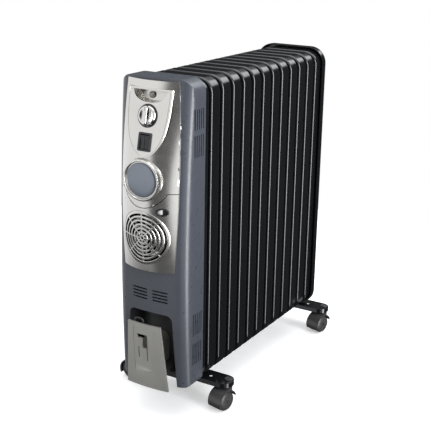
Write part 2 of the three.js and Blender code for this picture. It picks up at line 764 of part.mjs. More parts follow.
// The winding plate with its plug clip, on the post that the cord is wound round.
function cordPlate() {
  const post = slabY(rounded(-17, 17, 104, 168, 15), -106.5, STORE.back - GAP, 0, 4);
  const trimmed = post.intersect(join(
    block(-40, 40, -104, -40, 60, 220),
    plateSlab(),
  ));
  const opening = join(
    block(-16, 7, -130, -60, 171, 178),
    block(-5, 7, -130, -60, 151, 178),
    block(-14, -12, -130, -60, 130, 152),
    block(4.5, 6.5, -130, -60, 126, 152),
  );
  const relief = block(-16.5, 7.5, -130, -92, 120, 182);
  const groove = block(21.8, 22.8, -130, -60, 108, 188).subtract(plateSlab().translate([0, 1, 0]));
  return join(plateSlab().subtract(opening), trimmed.subtract(relief)).subtract(groove);
}
add('cord_plate', cordPlate(), champagne());

add('cord_hook', tube([
  [-23, -104, 182], [-23, -104, 196], [-22, -104, 203], [-19, -104, 206], [-9, -104, 206],
  [-6, -104, 203], [-5, -104, 196], [-5, -104, 182],
], 1.8, 8, 20), darkPlastic());

const gland = lathe([
  [0, -13], [4.6, -13], [5.6, -3], [8.5, -3], [8.5, -GAP], [5.8, -GAP], [5.8, 6], [0, 6],
], 18);
add('cord_gland', gland.translate(30, STORE.back, 98), darkPlastic());

// ---------------------------------------------------------------- inner electrical pieces
add('terminal_block', cut(
  block(-26, 26, -72, -48, 238, 258),
  ...[-18, -6, 6, 18].map((x) => rodZ(3, 246, 262, x, -60, 12)),
), finish(0xd8d4c6, 0.6, 0));
add('tip_over_switch', join(
  block(-14, 14, -74, -48, 272, 298),
  rodZ(4, 262, 273, 0, -61, 12),
), finish(0x303236, 0.6, 0));

// ---------------------------------------------------------------- foot bars and clamps
// A pressed bar, open below, with round ends and holes for stems and U bolts.
function footBar(centre, stemY, boltY) {
  const half = BAR.width / 2;
  const plan = (grow) => {
    const shape = new THREE.Shape();
    const r = half - grow;
    const end = BAR.half - half;
    shape.moveTo(-end, centre - r);
    shape.lineTo(end, centre - r);
    shape.absarc(end, centre, r, -Math.PI / 2, Math.PI / 2, false);
    shape.absarc(-end, centre, r, Math.PI / 2, Math.PI * 1.5, false);
    return shape;
  };
  const shell = cut(
    solid(slabZ(plan(0), BAR.top - BAR.lip, BAR.top, 1, 5)),
    solid(slabZ(plan(SHEET), BAR.top - BAR.lip - 5, BAR.top - SHEET, 1, 5)),
  );
  const holes = [-1, 1].flatMap((side) => [
    rodZ(5, BAR.top - 20, BAR.top + 5, side * STEM_X, stemY, 12),
    rodZ(4, BAR.top - 20, BAR.top + 5, side * 66, centre, 10),
    rodZ(3.2, BAR.top - 20, BAR.top + 5, side * (HEADER_R + 5.2), boltY, 10),
  ]);
  return cut(shell, ...holes);
}
const CLAMP_FRONT_Y = 29.4;
const CLAMP_REAR_Y = 425.6;
add('front_foot_bar', footBar(BAR_FRONT_Y, STEM_FRONT_Y, CLAMP_FRONT_Y), glossBlack());
add('rear_foot_bar', footBar(BAR_REAR_Y, STEM_REAR_Y, CLAMP_REAR_Y), glossBlack());

// A U bolt over the lower header, with a strap and wing nuts below the bar.
function clamp(y) {
  const leg = HEADER_R + 5.2;
  const wire = 2.5;
  const points = [[leg, y, BAR.top - 16]];
  for (let i = 0; i <= 8; i += 1) {
    const a = (i * Math.PI) / 8;
    points.push([leg * Math.cos(a), y, HEADER_LOW + leg * Math.sin(a)]);
  }
  points.push([-leg, y, BAR.top - 16]);
  const bolt = solid(tube(points, wire, 6, 16));
  const nuts = [-1, 1].map((side) => join(
    rodZ(3, BAR.top - 8, BAR.top - SHEET - GAP, side * leg, y, 10),
    block(side * leg - 10, side * leg + 10, y - 1.2, y + 1.2, BAR.top - 13, BAR.top - 4),
  ));
  return join(bolt, ...nuts);
}
add('front_clamp', clamp(CLAMP_FRONT_Y), steel());
add('rear_clamp', clamp(CLAMP_REAR_Y), steel());

// ---------------------------------------------------------------- castors
// Each castor is built about its stem axis, trailing towards -Y, and then swivelled.
function castorHood() {
  const fender = new THREE.Shape();
  const outer = WHEEL.r + 3.4;
  const inner = WHEEL.r + 1.4;
  const start = THREE.MathUtils.degToRad(20);
  const end = THREE.MathUtils.degToRad(205);
  fender.absarc(-WHEEL.trail, WHEEL.z, outer, start, end, false);
  fender.absarc(-WHEEL.trail, WHEEL.z, inner, end, start, true);
  const web = new THREE.Shape();
  web.absarc(-WHEEL.trail, WHEEL.z, outer - 0.5, start, end, false);
  web.lineTo(-WHEEL.trail - 9, WHEEL.z - 11);
  web.lineTo(-WHEEL.trail + 9, WHEEL.z - 11);
  const wide = WHEEL.offset + WHEEL.w / 2 + 1;
  return cut(
    join(
      slabX(fender, -wide, wide, 5),
      slabX(web, -2.2, 2.2, 4),
      rodZ(7.4, 36, BAR.top - SHEET - GAP, 0, 0, 12),
      rodZ(4.4, 50, BAR.top + 1, 0, 0, 10),
      rodZ(7.5, BAR.top + GAP, BAR.top + 2.4, 0, 0, 12),
    ),
    rodX(WHEEL.axle + 0.1, -5, 5, -WHEEL.trail, WHEEL.z, 10),
    rodX(inner, 2.5, 30, -WHEEL.trail, WHEEL.z, 16),
    rodX(inner, -30, -2.5, -WHEEL.trail, WHEEL.z, 16),
  );
}

function castorWheel() {
  const w = WHEEL.w / 2;
  const bore = WHEEL.axle + 0.3;
  const profile = [
    [bore, -w], [WHEEL.r - 2, -w], [WHEEL.r, -w + 2],
    [WHEEL.r, w - 2], [WHEEL.r - 2, w], [bore, w], [bore, -w],
  ];
  return lathe(profile, 16).rotateZ(Math.PI / 2);
}

const CASTORS = [
  { name: 'front_left', x: -STEM_X, y: STEM_FRONT_Y, turn: -90 },
  { name: 'front_right', x: STEM_X, y: STEM_FRONT_Y, turn: -12 },
  { name: 'rear_left', x: -STEM_X, y: STEM_REAR_Y, turn: 25 },
  { name: 'rear_right', x: STEM_X, y: STEM_REAR_Y, turn: -15 },
];

for (const castor of CASTORS) {
  const group = new THREE.Group();
  group.position.set(castor.x, castor.y, 0);
  group.rotation.z = THREE.MathUtils.degToRad(castor.turn);
  model.add(group);
  add(`${castor.name}_castor_hood`, castorHood(), castorPlastic(), group);
  const reach = WHEEL.offset + WHEEL.w / 2;
  const pin = add(
    `${castor.name}_castor_axle`,
    rodX(WHEEL.axle - 0.35, -reach, reach, 0, 0, 10),
    steel(),
    group,
  );
  pin.position.set(0, -WHEEL.trail, WHEEL.z);
  for (const [side, x] of [['outer', WHEEL.offset], ['inner', -WHEEL.offset]]) {
    const wheel = add(`${castor.name}_castor_${side}_wheel`, castorWheel(), castorPlastic(), group);
    wheel.position.set(x, -WHEEL.trail, WHEEL.z);
  }
}

export default model;
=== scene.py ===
"""Visual model of an oil filled column radiator with a fan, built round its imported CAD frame.

The classes give lengths in millimetres in a design frame: x = 0 on the centre plane of the
fins, y = 0 at the bend of the second fin, z = 0 just below the floor and the front towards -Y. Each
piece is modelled there in metres and then seated in the row frame by one shift.
"""

import json
import logging
import math
from dataclasses import dataclass
from enum import Enum
from typing import Callable, Iterable, Sequence

import bmesh
import bpy
from mathutils import Matrix, Vector

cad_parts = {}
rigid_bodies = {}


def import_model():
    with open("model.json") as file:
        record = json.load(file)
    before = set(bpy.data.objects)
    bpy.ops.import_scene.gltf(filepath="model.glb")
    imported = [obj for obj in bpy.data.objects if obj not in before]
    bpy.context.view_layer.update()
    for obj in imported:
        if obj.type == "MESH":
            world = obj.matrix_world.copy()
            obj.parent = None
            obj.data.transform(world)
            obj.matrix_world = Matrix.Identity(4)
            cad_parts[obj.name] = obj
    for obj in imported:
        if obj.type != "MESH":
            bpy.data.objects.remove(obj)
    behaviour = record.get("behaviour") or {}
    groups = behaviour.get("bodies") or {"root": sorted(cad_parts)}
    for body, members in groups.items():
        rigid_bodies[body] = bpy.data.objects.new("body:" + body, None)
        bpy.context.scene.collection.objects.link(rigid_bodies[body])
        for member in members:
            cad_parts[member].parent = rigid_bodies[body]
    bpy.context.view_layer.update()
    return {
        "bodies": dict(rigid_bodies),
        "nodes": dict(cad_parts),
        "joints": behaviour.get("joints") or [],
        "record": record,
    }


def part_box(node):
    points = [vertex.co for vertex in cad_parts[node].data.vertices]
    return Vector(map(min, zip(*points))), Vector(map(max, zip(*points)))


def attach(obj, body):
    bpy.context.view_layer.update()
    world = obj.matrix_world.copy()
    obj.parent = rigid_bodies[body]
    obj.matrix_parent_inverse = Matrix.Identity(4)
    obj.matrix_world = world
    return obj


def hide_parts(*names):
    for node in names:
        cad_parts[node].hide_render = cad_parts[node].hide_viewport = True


MM = 0.001
LOG = logging.getLogger("radiator")
ROOT = "radiator"
ENDS = ("front", "rear")
SIDES = ("left", "right")
COVER_BACK = 447.0
COVER_TOP = 640.0
CLOSE = 0.01
ALONG = 0.9
UNIT = 1000.0
DUST_COLOUR = (0.32, 0.30, 0.28)
DUST_HEIGHT = 0.12
SCUFF_SCALE = 420.0
SCUFF_STRETCH = 0.12
COAT_ROUGHNESS = 0.05
BUMP_STRENGTH = 0.6

Point = tuple[float, float, float]
Flat = tuple[float, float]
Piece = bpy.types.Object
Socket = bpy.types.NodeSocket
Tree = bpy.types.NodeTree
Rule = Callable[[Vector, Vector], bool]


class Kind(Enum):
    """What a selection in edit mode is made of."""

    VERTEX = "VERT"
    EDGE = "EDGE"
    FACE = "FACE"


class Cut(Enum):
    """How one solid acts on another."""

    TAKE = "DIFFERENCE"
    ADD = "UNION"
    KEEP = "INTERSECT"


# ---------------------------------------------------------------- finishes


@dataclass(frozen=True)
class Finish:
    """A moulded, painted or plated surface.

    Colours are linear RGB, scales are in waves per metre and bump heights in metres.
    """

    name: str
    slot: str
    colour: tuple[float, float, float]
    roughness: float
    metallic: float = 0.0
    coat: float = 0.0
    specular: float = 0.5
    mottle: float = 0.06
    mottle_scale: float = 18.0
    haze: float = 0.06
    haze_scale: float = 60.0
    grain_scale: float = 900.0
    grain_height: float = 0.00002
    wear: float = 0.12
    dust: float = 0.05

    def material(self) -> bpy.types.Material:
        """The node material of this finish, made on first use.

        Returns:
            The material, shared by all pieces of the finish.
        """
        found = bpy.data.materials.get(self.name)
        if found is not None:
            return found
        made = bpy.data.materials.new(self.name)
        made.use_nodes = True
        tree = made.node_tree
        shader = next(n for n in tree.nodes if n.type == "BSDF_PRINCIPLED")
        shader.inputs["Metallic"].default_value = self.metallic
        shader.inputs["Coat Weight"].default_value = self.coat
        shader.inputs["Coat Roughness"].default_value = COAT_ROUGHNESS
        shader.inputs["Specular IOR Level"].default_value = self.specular
        place = tree.nodes.new("ShaderNodeTexCoord").outputs["Object"]
        mottled = self._mottled(tree, place)
        tree.links.new(self._worn(tree, place, mottled), shader.inputs["Base Color"])
        tree.links.new(self._hazed(tree, place), shader.inputs["Roughness"])
        tree.links.new(self._grained(tree, place), shader.inputs["Normal"])
        return made

    def _noise(self, tree: Tree, place: Socket, scale: float, detail: float) -> Socket:
        """A noise read at Object coordinates.

        Args:
            tree: the node tree.
            place: the coordinate socket.
            scale: waves per metre.
            detail: octaves.

        Returns:
            The noise's value socket.
        """
        noise = tree.nodes.new("ShaderNodeTexNoise")
        noise.inputs["Scale"].default_value = scale
        noise.inputs["Detail"].default_value = detail
        tree.links.new(place, noise.inputs["Vector"])
        return noise.outputs["Fac"]

    def _range(self, tree: Tree, value: Socket, low: float, high: float, to: Flat) -> Socket:
        """Maps a value from one range to another, clamped.

        Args:
            tree: the node tree.
            value: the socket to map.
            low: start of the range read.
            high: end of the range read.
            to: the range given.

        Returns:
            The mapped socket.
        """
        ramp = tree.nodes.new("ShaderNodeMapRange")
        ramp.inputs["From Min"].default_value = low
        ramp.inputs["From Max"].default_value = high
        ramp.inputs["To Min"].default_value = to[0]
        ramp.inputs["To Max"].default_value = to[1]
        tree.links.new(value, ramp.inputs["Value"])
        return ramp.outputs["Result"]

    def _blend(self, tree: Tree, share: Socket, first: Socket | Point,
               second: Socket | Point) -> Socket:
        """Blends two colours by a share.

        Args:
            tree: the node tree.
            share: socket with the share of the second colour.
            first: a colour or a socket.
            second: a colour or a socket.

        Returns:
            The blended colour socket.
        """
        mix = tree.nodes.new("ShaderNodeMix")
        mix.data_type = "RGBA"
        tree.links.new(share, mix.inputs[0])
        for slot, value in ((6, first), (7, second)):
            if isinstance(value, Socket):
                tree.links.new(value, mix.inputs[slot])
            else:
                mix.inputs[slot].default_value = (*value, 1.0)
        return mix.outputs[2]

    def _mottled(self, tree: Tree, place: Socket) -> Socket:
        """Slow changes of tone over the surface.

        Args:
            tree: the node tree.
            place: the coordinate socket.

        Returns:
            The colour socket.
        """
        dark = tuple(c * (1 - self.mottle) for c in self.colour)
        light = tuple(min(c * (1 + self.mottle), 1.0) for c in self.colour)
        noise = self._noise(tree, place, self.mottle_scale, 4)
        return self._blend(tree, self._range(tree, noise, 0.3, 0.7, (0, 1)), dark, light)

    def _worn(self, tree: Tree, place: Socket, colour: Socket) -> Socket:
        """Fine upright scuffs and a little dust near the floor.

        Args:
            tree: the node tree.
            place: the coordinate socket.
            colour: the clean colour.

        Returns:
            The colour socket.
        """
        stretch = tree.nodes.new("ShaderNodeMapping")
        stretch.inputs["Scale"].default_value = (1.0, 1.0, SCUFF_STRETCH)
        tree.links.new(place, stretch.inputs["Vector"])
        streak = self._noise(tree, stretch.outputs["Vector"], SCUFF_SCALE, 3)
        rubbed = tuple(min(c * 1.4 + 0.02, 1.0) for c in self.colour)
        share = self._range(tree, streak, 0.6, 0.8, (0, self.wear))
        worn = self._blend(tree, share, colour, rubbed)
        parts = tree.nodes.new("ShaderNodeSeparateXYZ")
        tree.links.new(place, parts.inputs[0])
        low = self._range(tree, parts.outputs["Z"], 0.0, DUST_HEIGHT, (self.dust, 0.0))
        return self._blend(tree, low, worn, DUST_COLOUR)

    def _hazed(self, tree: Tree, place: Socket) -> Socket:
        """Roughness that varies a little, as where hands and cloths have been.

        Args:
            tree: the node tree.
            place: the coordinate socket.

        Returns:
            The roughness socket.
        """
        noise = self._noise(tree, place, self.haze_scale, 3)
        reach = (max(self.roughness - self.haze, 0.02), self.roughness + self.haze)
        return self._range(tree, noise, 0.3, 0.7, reach)

    def _grained(self, tree: Tree, place: Socket) -> Socket:
        """The fine grain of the moulding or orange peel of the paint.

        Args:
            tree: the node tree.
            place: the coordinate socket.

        Returns:
            The normal socket.
        """
        bump = tree.nodes.new("ShaderNodeBump")
        bump.inputs["Strength"].default_value = BUMP_STRENGTH
        bump.inputs["Distance"].default_value = self.grain_height
        tree.links.new(self._noise(tree, place, self.grain_scale, 2), bump.inputs["Height"])
        return bump.outputs["Normal"]


ENAMEL = Finish(
    "gloss_black_enamel", "radiator_enamel", (0.006, 0.0065, 0.0075), 0.16, coat=0.35,
    haze=0.03, grain_scale=260, grain_height=0.00001, wear=0.03, dust=0.01,
)
SLATE = Finish(
    "slate_moulding", "housing_plastic", (0.062, 0.068, 0.083), 0.3,
    mottle=0.04, haze=0.04, grain_scale=1500, grain_height=0.000012, wear=0.06,
)
CHAMPAGNE = Finish(
    "champagne_silver", "panel_finish", (0.6, 0.585, 0.56), 0.23, metallic=0.92, coat=0.15,
    mottle=0.02, haze=0.02, grain_scale=2600, grain_height=0.000002, wear=0.03,
)
PLATE_SILVER = Finish(
    "silver_plate_paint", "panel_finish", (0.56, 0.55, 0.51), 0.36, metallic=0.75,
    mottle=0.03, haze=0.03, grain_scale=2600, grain_height=0.000002, wear=0.05,
)
CHROME = Finish(
    "polished_chrome", "knob_chrome", (0.62, 0.61, 0.6), 0.12, metallic=1.0,
    mottle=0.02, haze=0.03, grain_height=0.000005, wear=0.0,
)
BADGE = Finish(
    "slate_blue_badge", "badge_finish", (0.17, 0.19, 0.225), 0.2, metallic=0.35, coat=0.5,
    mottle=0.05, mottle_scale=40, haze=0.03,
)
# Dark moulding of the small parts; also used as painted shade inside the cord recess.
DARK = Finish(
    "dark_grey_moulding_and_recess_shade", "dark_plastic", (0.014, 0.0145, 0.016), 0.36,
    haze=0.06, grain_scale=1400, grain_height=0.00002,
)
CASTOR = Finish(
    "charcoal_castor_moulding", "castor_plastic", (0.024, 0.0245, 0.027), 0.42,
    mottle=0.12, haze=0.08, grain_scale=1200, grain_height=0.00003, wear=0.2, dust=0.12,
)
ZINC = Finish(
    "zinc_plated_steel", "zinc_steel", (0.42, 0.43, 0.45), 0.32, metallic=1.0,
    mottle=0.12, mottle_scale=120, haze=0.1,
)
LENS = Finish(
    "pilot_lamp_lens", "lamp_lens", (0.42, 0.40, 0.36), 0.14, coat=0.8, grain_height=0.000004,
)
NATURAL = Finish(
    "dark_terminal_moulding", "terminal_plastic", (0.04, 0.039, 0.036), 0.5, haze=0.08,
)


# ---------------------------------------------------------------- bench


@dataclass(frozen=True)
class Datum:
    """Where the design frame's origin lies in the row frame, in metres."""

    x: float
    y: float
    z: float

    @classmethod
    def read(cls) -> "Datum":
        """Reads the datum from the CAD boxes of the housing and the rear cover.

        Returns:
            The datum.
        """
        low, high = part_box("control_housing")
        back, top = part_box("rear_cover")[1][1:]
        return cls((low[0] + high[0]) / 2, back - COVER_BACK * MM, top - COVER_TOP * MM)

    @property
    def shift(self) -> Matrix:
        """The matrix from the design frame to the row frame."""
        return Matrix.Translation((self.x, self.y, self.z))


class Bench:
    """The modelling steps that the pieces share."""

    def __init__(self, datum: Datum, frame: dict) -> None:
        """Sets the bench up for one frame.

        Args:
            datum: the place of the design frame.
            frame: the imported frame, as loaded.
        """
        self.datum = datum
        self.nodes = frame["nodes"]
        self.joints = frame["record"]["behaviour"]["joints"]
        self.count = 0

    def free(self) -> None:
        """Leaves edit mode and deselects everything."""
        if bpy.context.object is not None and bpy.context.object.mode != "OBJECT":
            bpy.ops.object.mode_set(mode="OBJECT")
        bpy.ops.object.select_all(action="DESELECT")

    def hold(self, piece: Piece) -> None:
        """Makes one piece the only selected and active one.

        Args:
            piece: the piece.
        """
        self.free()
        piece.select_set(True)
        bpy.context.view_layer.objects.active = piece

    def _settle(self, name: str) -> Piece:
        """Names the new primitive and applies its place.

        Args:
            name: its name.

        Returns:
            The piece.
        """
        piece = bpy.context.object
        piece.name = name
        piece.data.name = name
        bpy.ops.object.transform_apply(location=True, rotation=True, scale=True)
        return piece

    def block(self, name: str, low: Point, high: Point) -> Piece:
        """A box between two corners, in millimetres.

        Args:
            name: its name.
            low: the lowest corner.
            high: the highest corner.

        Returns:
            The piece.
        """
        self.free()
        size = [(b - a) * MM for a, b in zip(low, high)]
        middle = [(a + b) / 2 * MM for a, b in zip(low, high)]
        bpy.ops.mesh.primitive_cube_add(size=1, location=middle, scale=size)
        return self._settle(name)

    def rod(self, name: str, r: float, y0: float, y1: float, x: float, z: float,
            sides: int = 48) -> Piece:
        """A cylinder along Y between two depths, in millimetres.

        Args:
            name: its name.
            r: radius.
            y0: nearer end.
            y1: further end.
            x: place of the axis.
            z: height of the axis.
            sides: number of sides.

        Returns:
            The piece.
        """
        self.free()
        bpy.ops.mesh.primitive_cylinder_add(
            vertices=sides, radius=r * MM, depth=(y1 - y0) * MM,
            location=(x * MM, (y0 + y1) / 2 * MM, z * MM), rotation=(math.pi / 2, 0, 0),
        )
        return self._settle(name)

    def prism(self, name: str, outline: Sequence[Flat], y0: float, y1: float) -> Piece:
        """A front-view outline of (x, z) points carried from depth y0 to y1.

        Args:
            name: its name.
            outline: the points.
            y0: nearer end.
            y1: further end.

        Returns:
            The piece.
        """
        self.free()
        bpy.ops.mesh.primitive_circle_add(vertices=len(outline), radius=MM, fill_type="NGON")
        piece = self._settle(name)
        for vertex, (x, z) in zip(piece.data.vertices, outline):
            vertex.co = (x * MM, y0 * MM, z * MM)
        self.pick(piece, Kind.FACE, lambda middle, way: True)
        bpy.ops.mesh.extrude_region_move(
            TRANSFORM_OT_translate={"value": (0, (y1 - y0) * MM, 0)})
        self.close(piece)
        return piece

    def turned(self, name: str, profile: Sequence[Flat], sides: int = 72,
               solid: bool = True) -> Piece:
        """Spins a profile of (radius, y) points about the Y axis.

        Args:
            name: name of the piece.
            profile: the points, from the axis back to the axis if solid, else a closed loop.
            sides: steps of the spin.
            solid: whether both ends of the profile lie on the axis.

        Returns:
            The piece.
        """
        self.free()
        bpy.ops.mesh.primitive_circle_add(vertices=len(profile), radius=MM, fill_type="NOTHING")
        piece = self._settle(name)
        for vertex, (r, y) in zip(piece.data.vertices, profile):
            vertex.co = (r * MM, y * MM, 0)
        if solid:
            self.pick(piece, Kind.EDGE, lambda middle, way: abs(middle.x) < 1e-4)
            bpy.ops.mesh.delete(type="EDGE")
        self.pick(piece, Kind.VERTEX, lambda middle, way: True)
        bpy.ops.mesh.spin(steps=sides, angle=2 * math.pi, center=(0, 0, 0), axis=(0, 1, 0))
        self.close(piece)
        return piece

    def pick(self, piece: Piece, kind: Kind, rule: Rule) -> None:
        """Opens a piece in edit mode with the elements that keep a rule selected.

        Args:
            piece: the piece.
            kind: vertices, edges or faces.
            rule: told each element's middle in millimetres and its normal or direction.
        """
        self.hold(piece)
        bpy.ops.object.mode_set(mode="EDIT")
        bpy.ops.mesh.select_mode(type=kind.value)
        bpy.ops.mesh.select_all(action="DESELECT")
        mesh = bmesh.from_edit_mesh(piece.data)
        if kind is Kind.FACE:
            for face in mesh.faces:
                face.select_set(rule(face.calc_center_median() / MM, face.normal))
        elif kind is Kind.EDGE:
            for edge in mesh.edges:
                a, b = (v.co for v in edge.verts)
                edge.select_set(rule((a + b) / 2 / MM, (b - a).normalized()))
        else:
            for vertex in mesh.verts:
                vertex.select_set(rule(vertex.co / MM, vertex.normal))
        mesh.select_flush_mode()
        bmesh.update_edit_mesh(piece.data)

    def close(self, piece: Piece) -> None:
        """Merges doubles and turns all faces outwards.

        Args:
            piece: the piece.
        """
        self.hold(piece)
        bpy.ops.object.mode_set(mode="EDIT")
        bpy.ops.mesh.select_mode(type="VERT")
        bpy.ops.mesh.select_all(action="SELECT")
        bpy.ops.mesh.remove_doubles(threshold=CLOSE * MM)
        bpy.ops.mesh.normals_make_consistent(inside=False)
        bpy.ops.object.mode_set(mode="OBJECT")

    def bevel(self, piece: Piece, rule: Rule, width: float, segments: int) -> None:
        """Bevels the edges that keep a rule, in millimetres.

        Args:
            piece: the piece.
            rule: as in pick.
            width: width of the bevel.
            segments: steps of the bevel.
        """
        self.pick(piece, Kind.EDGE, rule)
        bpy.ops.mesh.bevel(offset=width * MM, segments=segments, affect="EDGES")
        bpy.ops.object.mode_set(mode="OBJECT")

    def divide(self, piece: Piece, rule: Rule, cuts: int) -> None:
        """Subdivides the edges that keep a rule.

        Args:
            piece: the piece.
            rule: as in pick.
            cuts: new points on each edge.
        """
        self.pick(piece, Kind.EDGE, rule)
        bpy.ops.mesh.subdivide(number_cuts=cuts)
        bpy.ops.object.mode_set(mode="OBJECT")

    def shape(self, piece: Piece, rule: Callable[[float, float, float], Point]) -> None:
        """Moves each vertex, given and returned in millimetres.

        Args:
            piece: the piece.
            rule: from the old place to the new one.
        """
        for vertex in piece.data.vertices:
            vertex.co = Vector(rule(*(vertex.co / MM))) * MM
        piece.data.update()

    def modify(self, piece: Piece, kind: str, **settings: object) -> None:
        """Adds a modifier and applies it.

        Args:
            piece: the piece.
            kind: type of the modifier.
            settings: its settings.
        """
        self.hold(piece)
        modifier = piece.modifiers.new(kind.lower(), kind)
        for key, value in settings.items():
            setattr(modifier, key, value)
        bpy.ops.object.modifier_apply(modifier=modifier.name)

    def combine(self, piece: Piece, tool: Piece, how: Cut) -> None:
        """Cuts, joins or intersects a piece with a tool, which is used up."""
        self.modify(piece, "BOOLEAN", object=tool, operation=how.value, solver="EXACT")
        bpy.data.objects.remove(tool)

    def weld(self, pieces: Sequence[Piece]) -> Piece:
        """Joins pieces into the first.

        Args:
            pieces: the pieces.

        Returns:
            The joined piece.
        """
        self.hold(pieces[0])
        for other in pieces[1:]:
            other.select_set(True)
        if len(pieces) > 1:
            bpy.ops.object.join()
        return pieces[0]

    def soften(self, piece: Piece, width: float, segments: int = 2,
               angle: float = 32.0) -> None:
        """Rounds the sharp edges and smooths the rest.

        Args:
            piece: the piece.
            width: radius in millimetres.
            segments: steps of the rounding.
            angle: edges sharper than this are rounded, in degrees.
        """
        self.modify(
            piece, "BEVEL", width=width * MM, segments=segments, limit_method="ANGLE",
            angle_limit=math.radians(angle), use_clamp_overlap=True, harden_normals=False,
        )
        self.smooth(piece)
        self.modify(piece, "WEIGHTED_NORMAL", keep_sharp=True)

    def smooth(self, piece: Piece, angle: float = 38.0) -> None:
        """Smooth shading up to an angle."""
        self.hold(piece)
        bpy.ops.object.shade_smooth_by_angle(angle=math.radians(angle))

    def twin(self, piece: Piece, name: str) -> Piece:
        """A copy with its own mesh.

        Args:
            piece: what is copied.
            name: name of the copy.

        Returns:
            The copy.
        """
        copy = piece.copy()
        copy.data = piece.data.copy()
        copy.name = name
        copy.data.name = name
        bpy.context.scene.collection.objects.link(copy)
        return copy

    def refined(self, node: str, width: float, angle: float = 32.0) -> Piece:
        """A copy of a CAD node in the design frame, with its edges rounded.

        Args:
            node: the CAD node.
            width: radius of the edges in millimetres.
            angle: edges sharper than this are rounded, in degrees.

        Returns:
            The piece, still in the design frame.
        """
        piece = self.twin(self.nodes[node], node + "_body")
        piece.parent = None
        piece.matrix_world = Matrix.Identity(4)
        piece.data.materials.clear()
        piece.data.transform(self.datum.shift.inverted())
        self.close(piece)
        self.hold(piece)
        bpy.ops.object.mode_set(mode="EDIT")
        bpy.ops.mesh.select_all(action="SELECT")
        bpy.ops.mesh.dissolve_limited(angle_limit=math.radians(1.0))
        bpy.ops.object.mode_set(mode="OBJECT")
        if width > 0:
            self.soften(piece, width, 2, angle)
        else:
            self.smooth(piece)
        return piece

    def deliver(self, piece: Piece, finish: Finish, body: str, nodes: Iterable[str],
                place: Matrix | None = None, painted_shade: Callable[[Vector], bool] | None = None,
                ) -> Piece:
        """Seats a finished piece in the row frame and hands it over.

        Args:
            piece: the piece in the design frame, or in its own frame if place is given.
            finish: its finish.
            body: the CAD body it rides on.
            nodes: the CAD nodes it stands for.
            place: from the piece's own frame to the design frame.
            painted_shade: told a face's middle in millimetres, whether it gets the dark finish as
                painted shade.

        Returns:
            The piece.
        """
        shaded_faces = [face.index for face in piece.data.polygons if painted_shade and painted_shade(face.center / MM)]
        piece.data.transform(self.datum.shift @ (place or Matrix.Identity(4)))
        piece.data.materials.clear()
        piece.data.materials.append(finish.material())
        for face in piece.data.polygons:
            face.material_index = 0
        # The faces the mask picks get the dark finish: painted shade, not a separate part.
        if shaded_faces:
            piece.data.materials.append(DARK.material())
            for index in shaded_faces:
                piece.data.polygons[index].material_index = 1
        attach(piece, body)
        for node in nodes:
            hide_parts(node)
        self.count += 1
        LOG.info("%s: %d faces", piece.name, len(piece.data.polygons))
        return piece


def rounded(x0: float, x1: float, z0: float, z1: float, r: float, steps: int = 8,
            low: float | None = None) -> list[Flat]:
    """The outline of a rectangle with round corners.

    Args:
        x0: left.
        x1: right.
        z0: bottom.
        z1: top.
        r: radius of the upper corners.
        steps: points in each corner.
        low: radius of the lower corners, by default the same.

    Returns:
        The points, anticlockwise seen from the front.
    """
    low = r if low is None else low
    corners = ((x1 - low, z0 + low, low, -90), (x1 - r, z1 - r, r, 0),
               (x0 + r, z1 - r, r, 90), (x0 + low, z0 + low, low, 180))
    points = []
    for cx, cz, radius, start in corners:
        for i in range(steps + 1):
            turn = math.radians(start + 90 * i / steps)
            points.append((cx + radius * math.cos(turn), cz + radius * math.sin(turn)))
    return points


def bezier(a: Flat, b: Flat, c: Flat, d: Flat, steps: int) -> list[Flat]:
    """Points of a cubic curve, without its last.

    Args:
        a: start.
        b: first handle.
        c: second handle.
        d: end.
        steps: number of points.

    Returns:
        The points.
    """
    points = []
    for i in range(steps):
        t = i / steps
        w = ((1 - t) ** 3, 3 * t * (1 - t) ** 2, 3 * t * t * (1 - t), t ** 3)
        points.append(tuple(sum(k * p[n] for k, p in zip(w, (a, b, c, d))) for n in (0, 1)))
    return points


# ---------------------------------------------------------------- fins


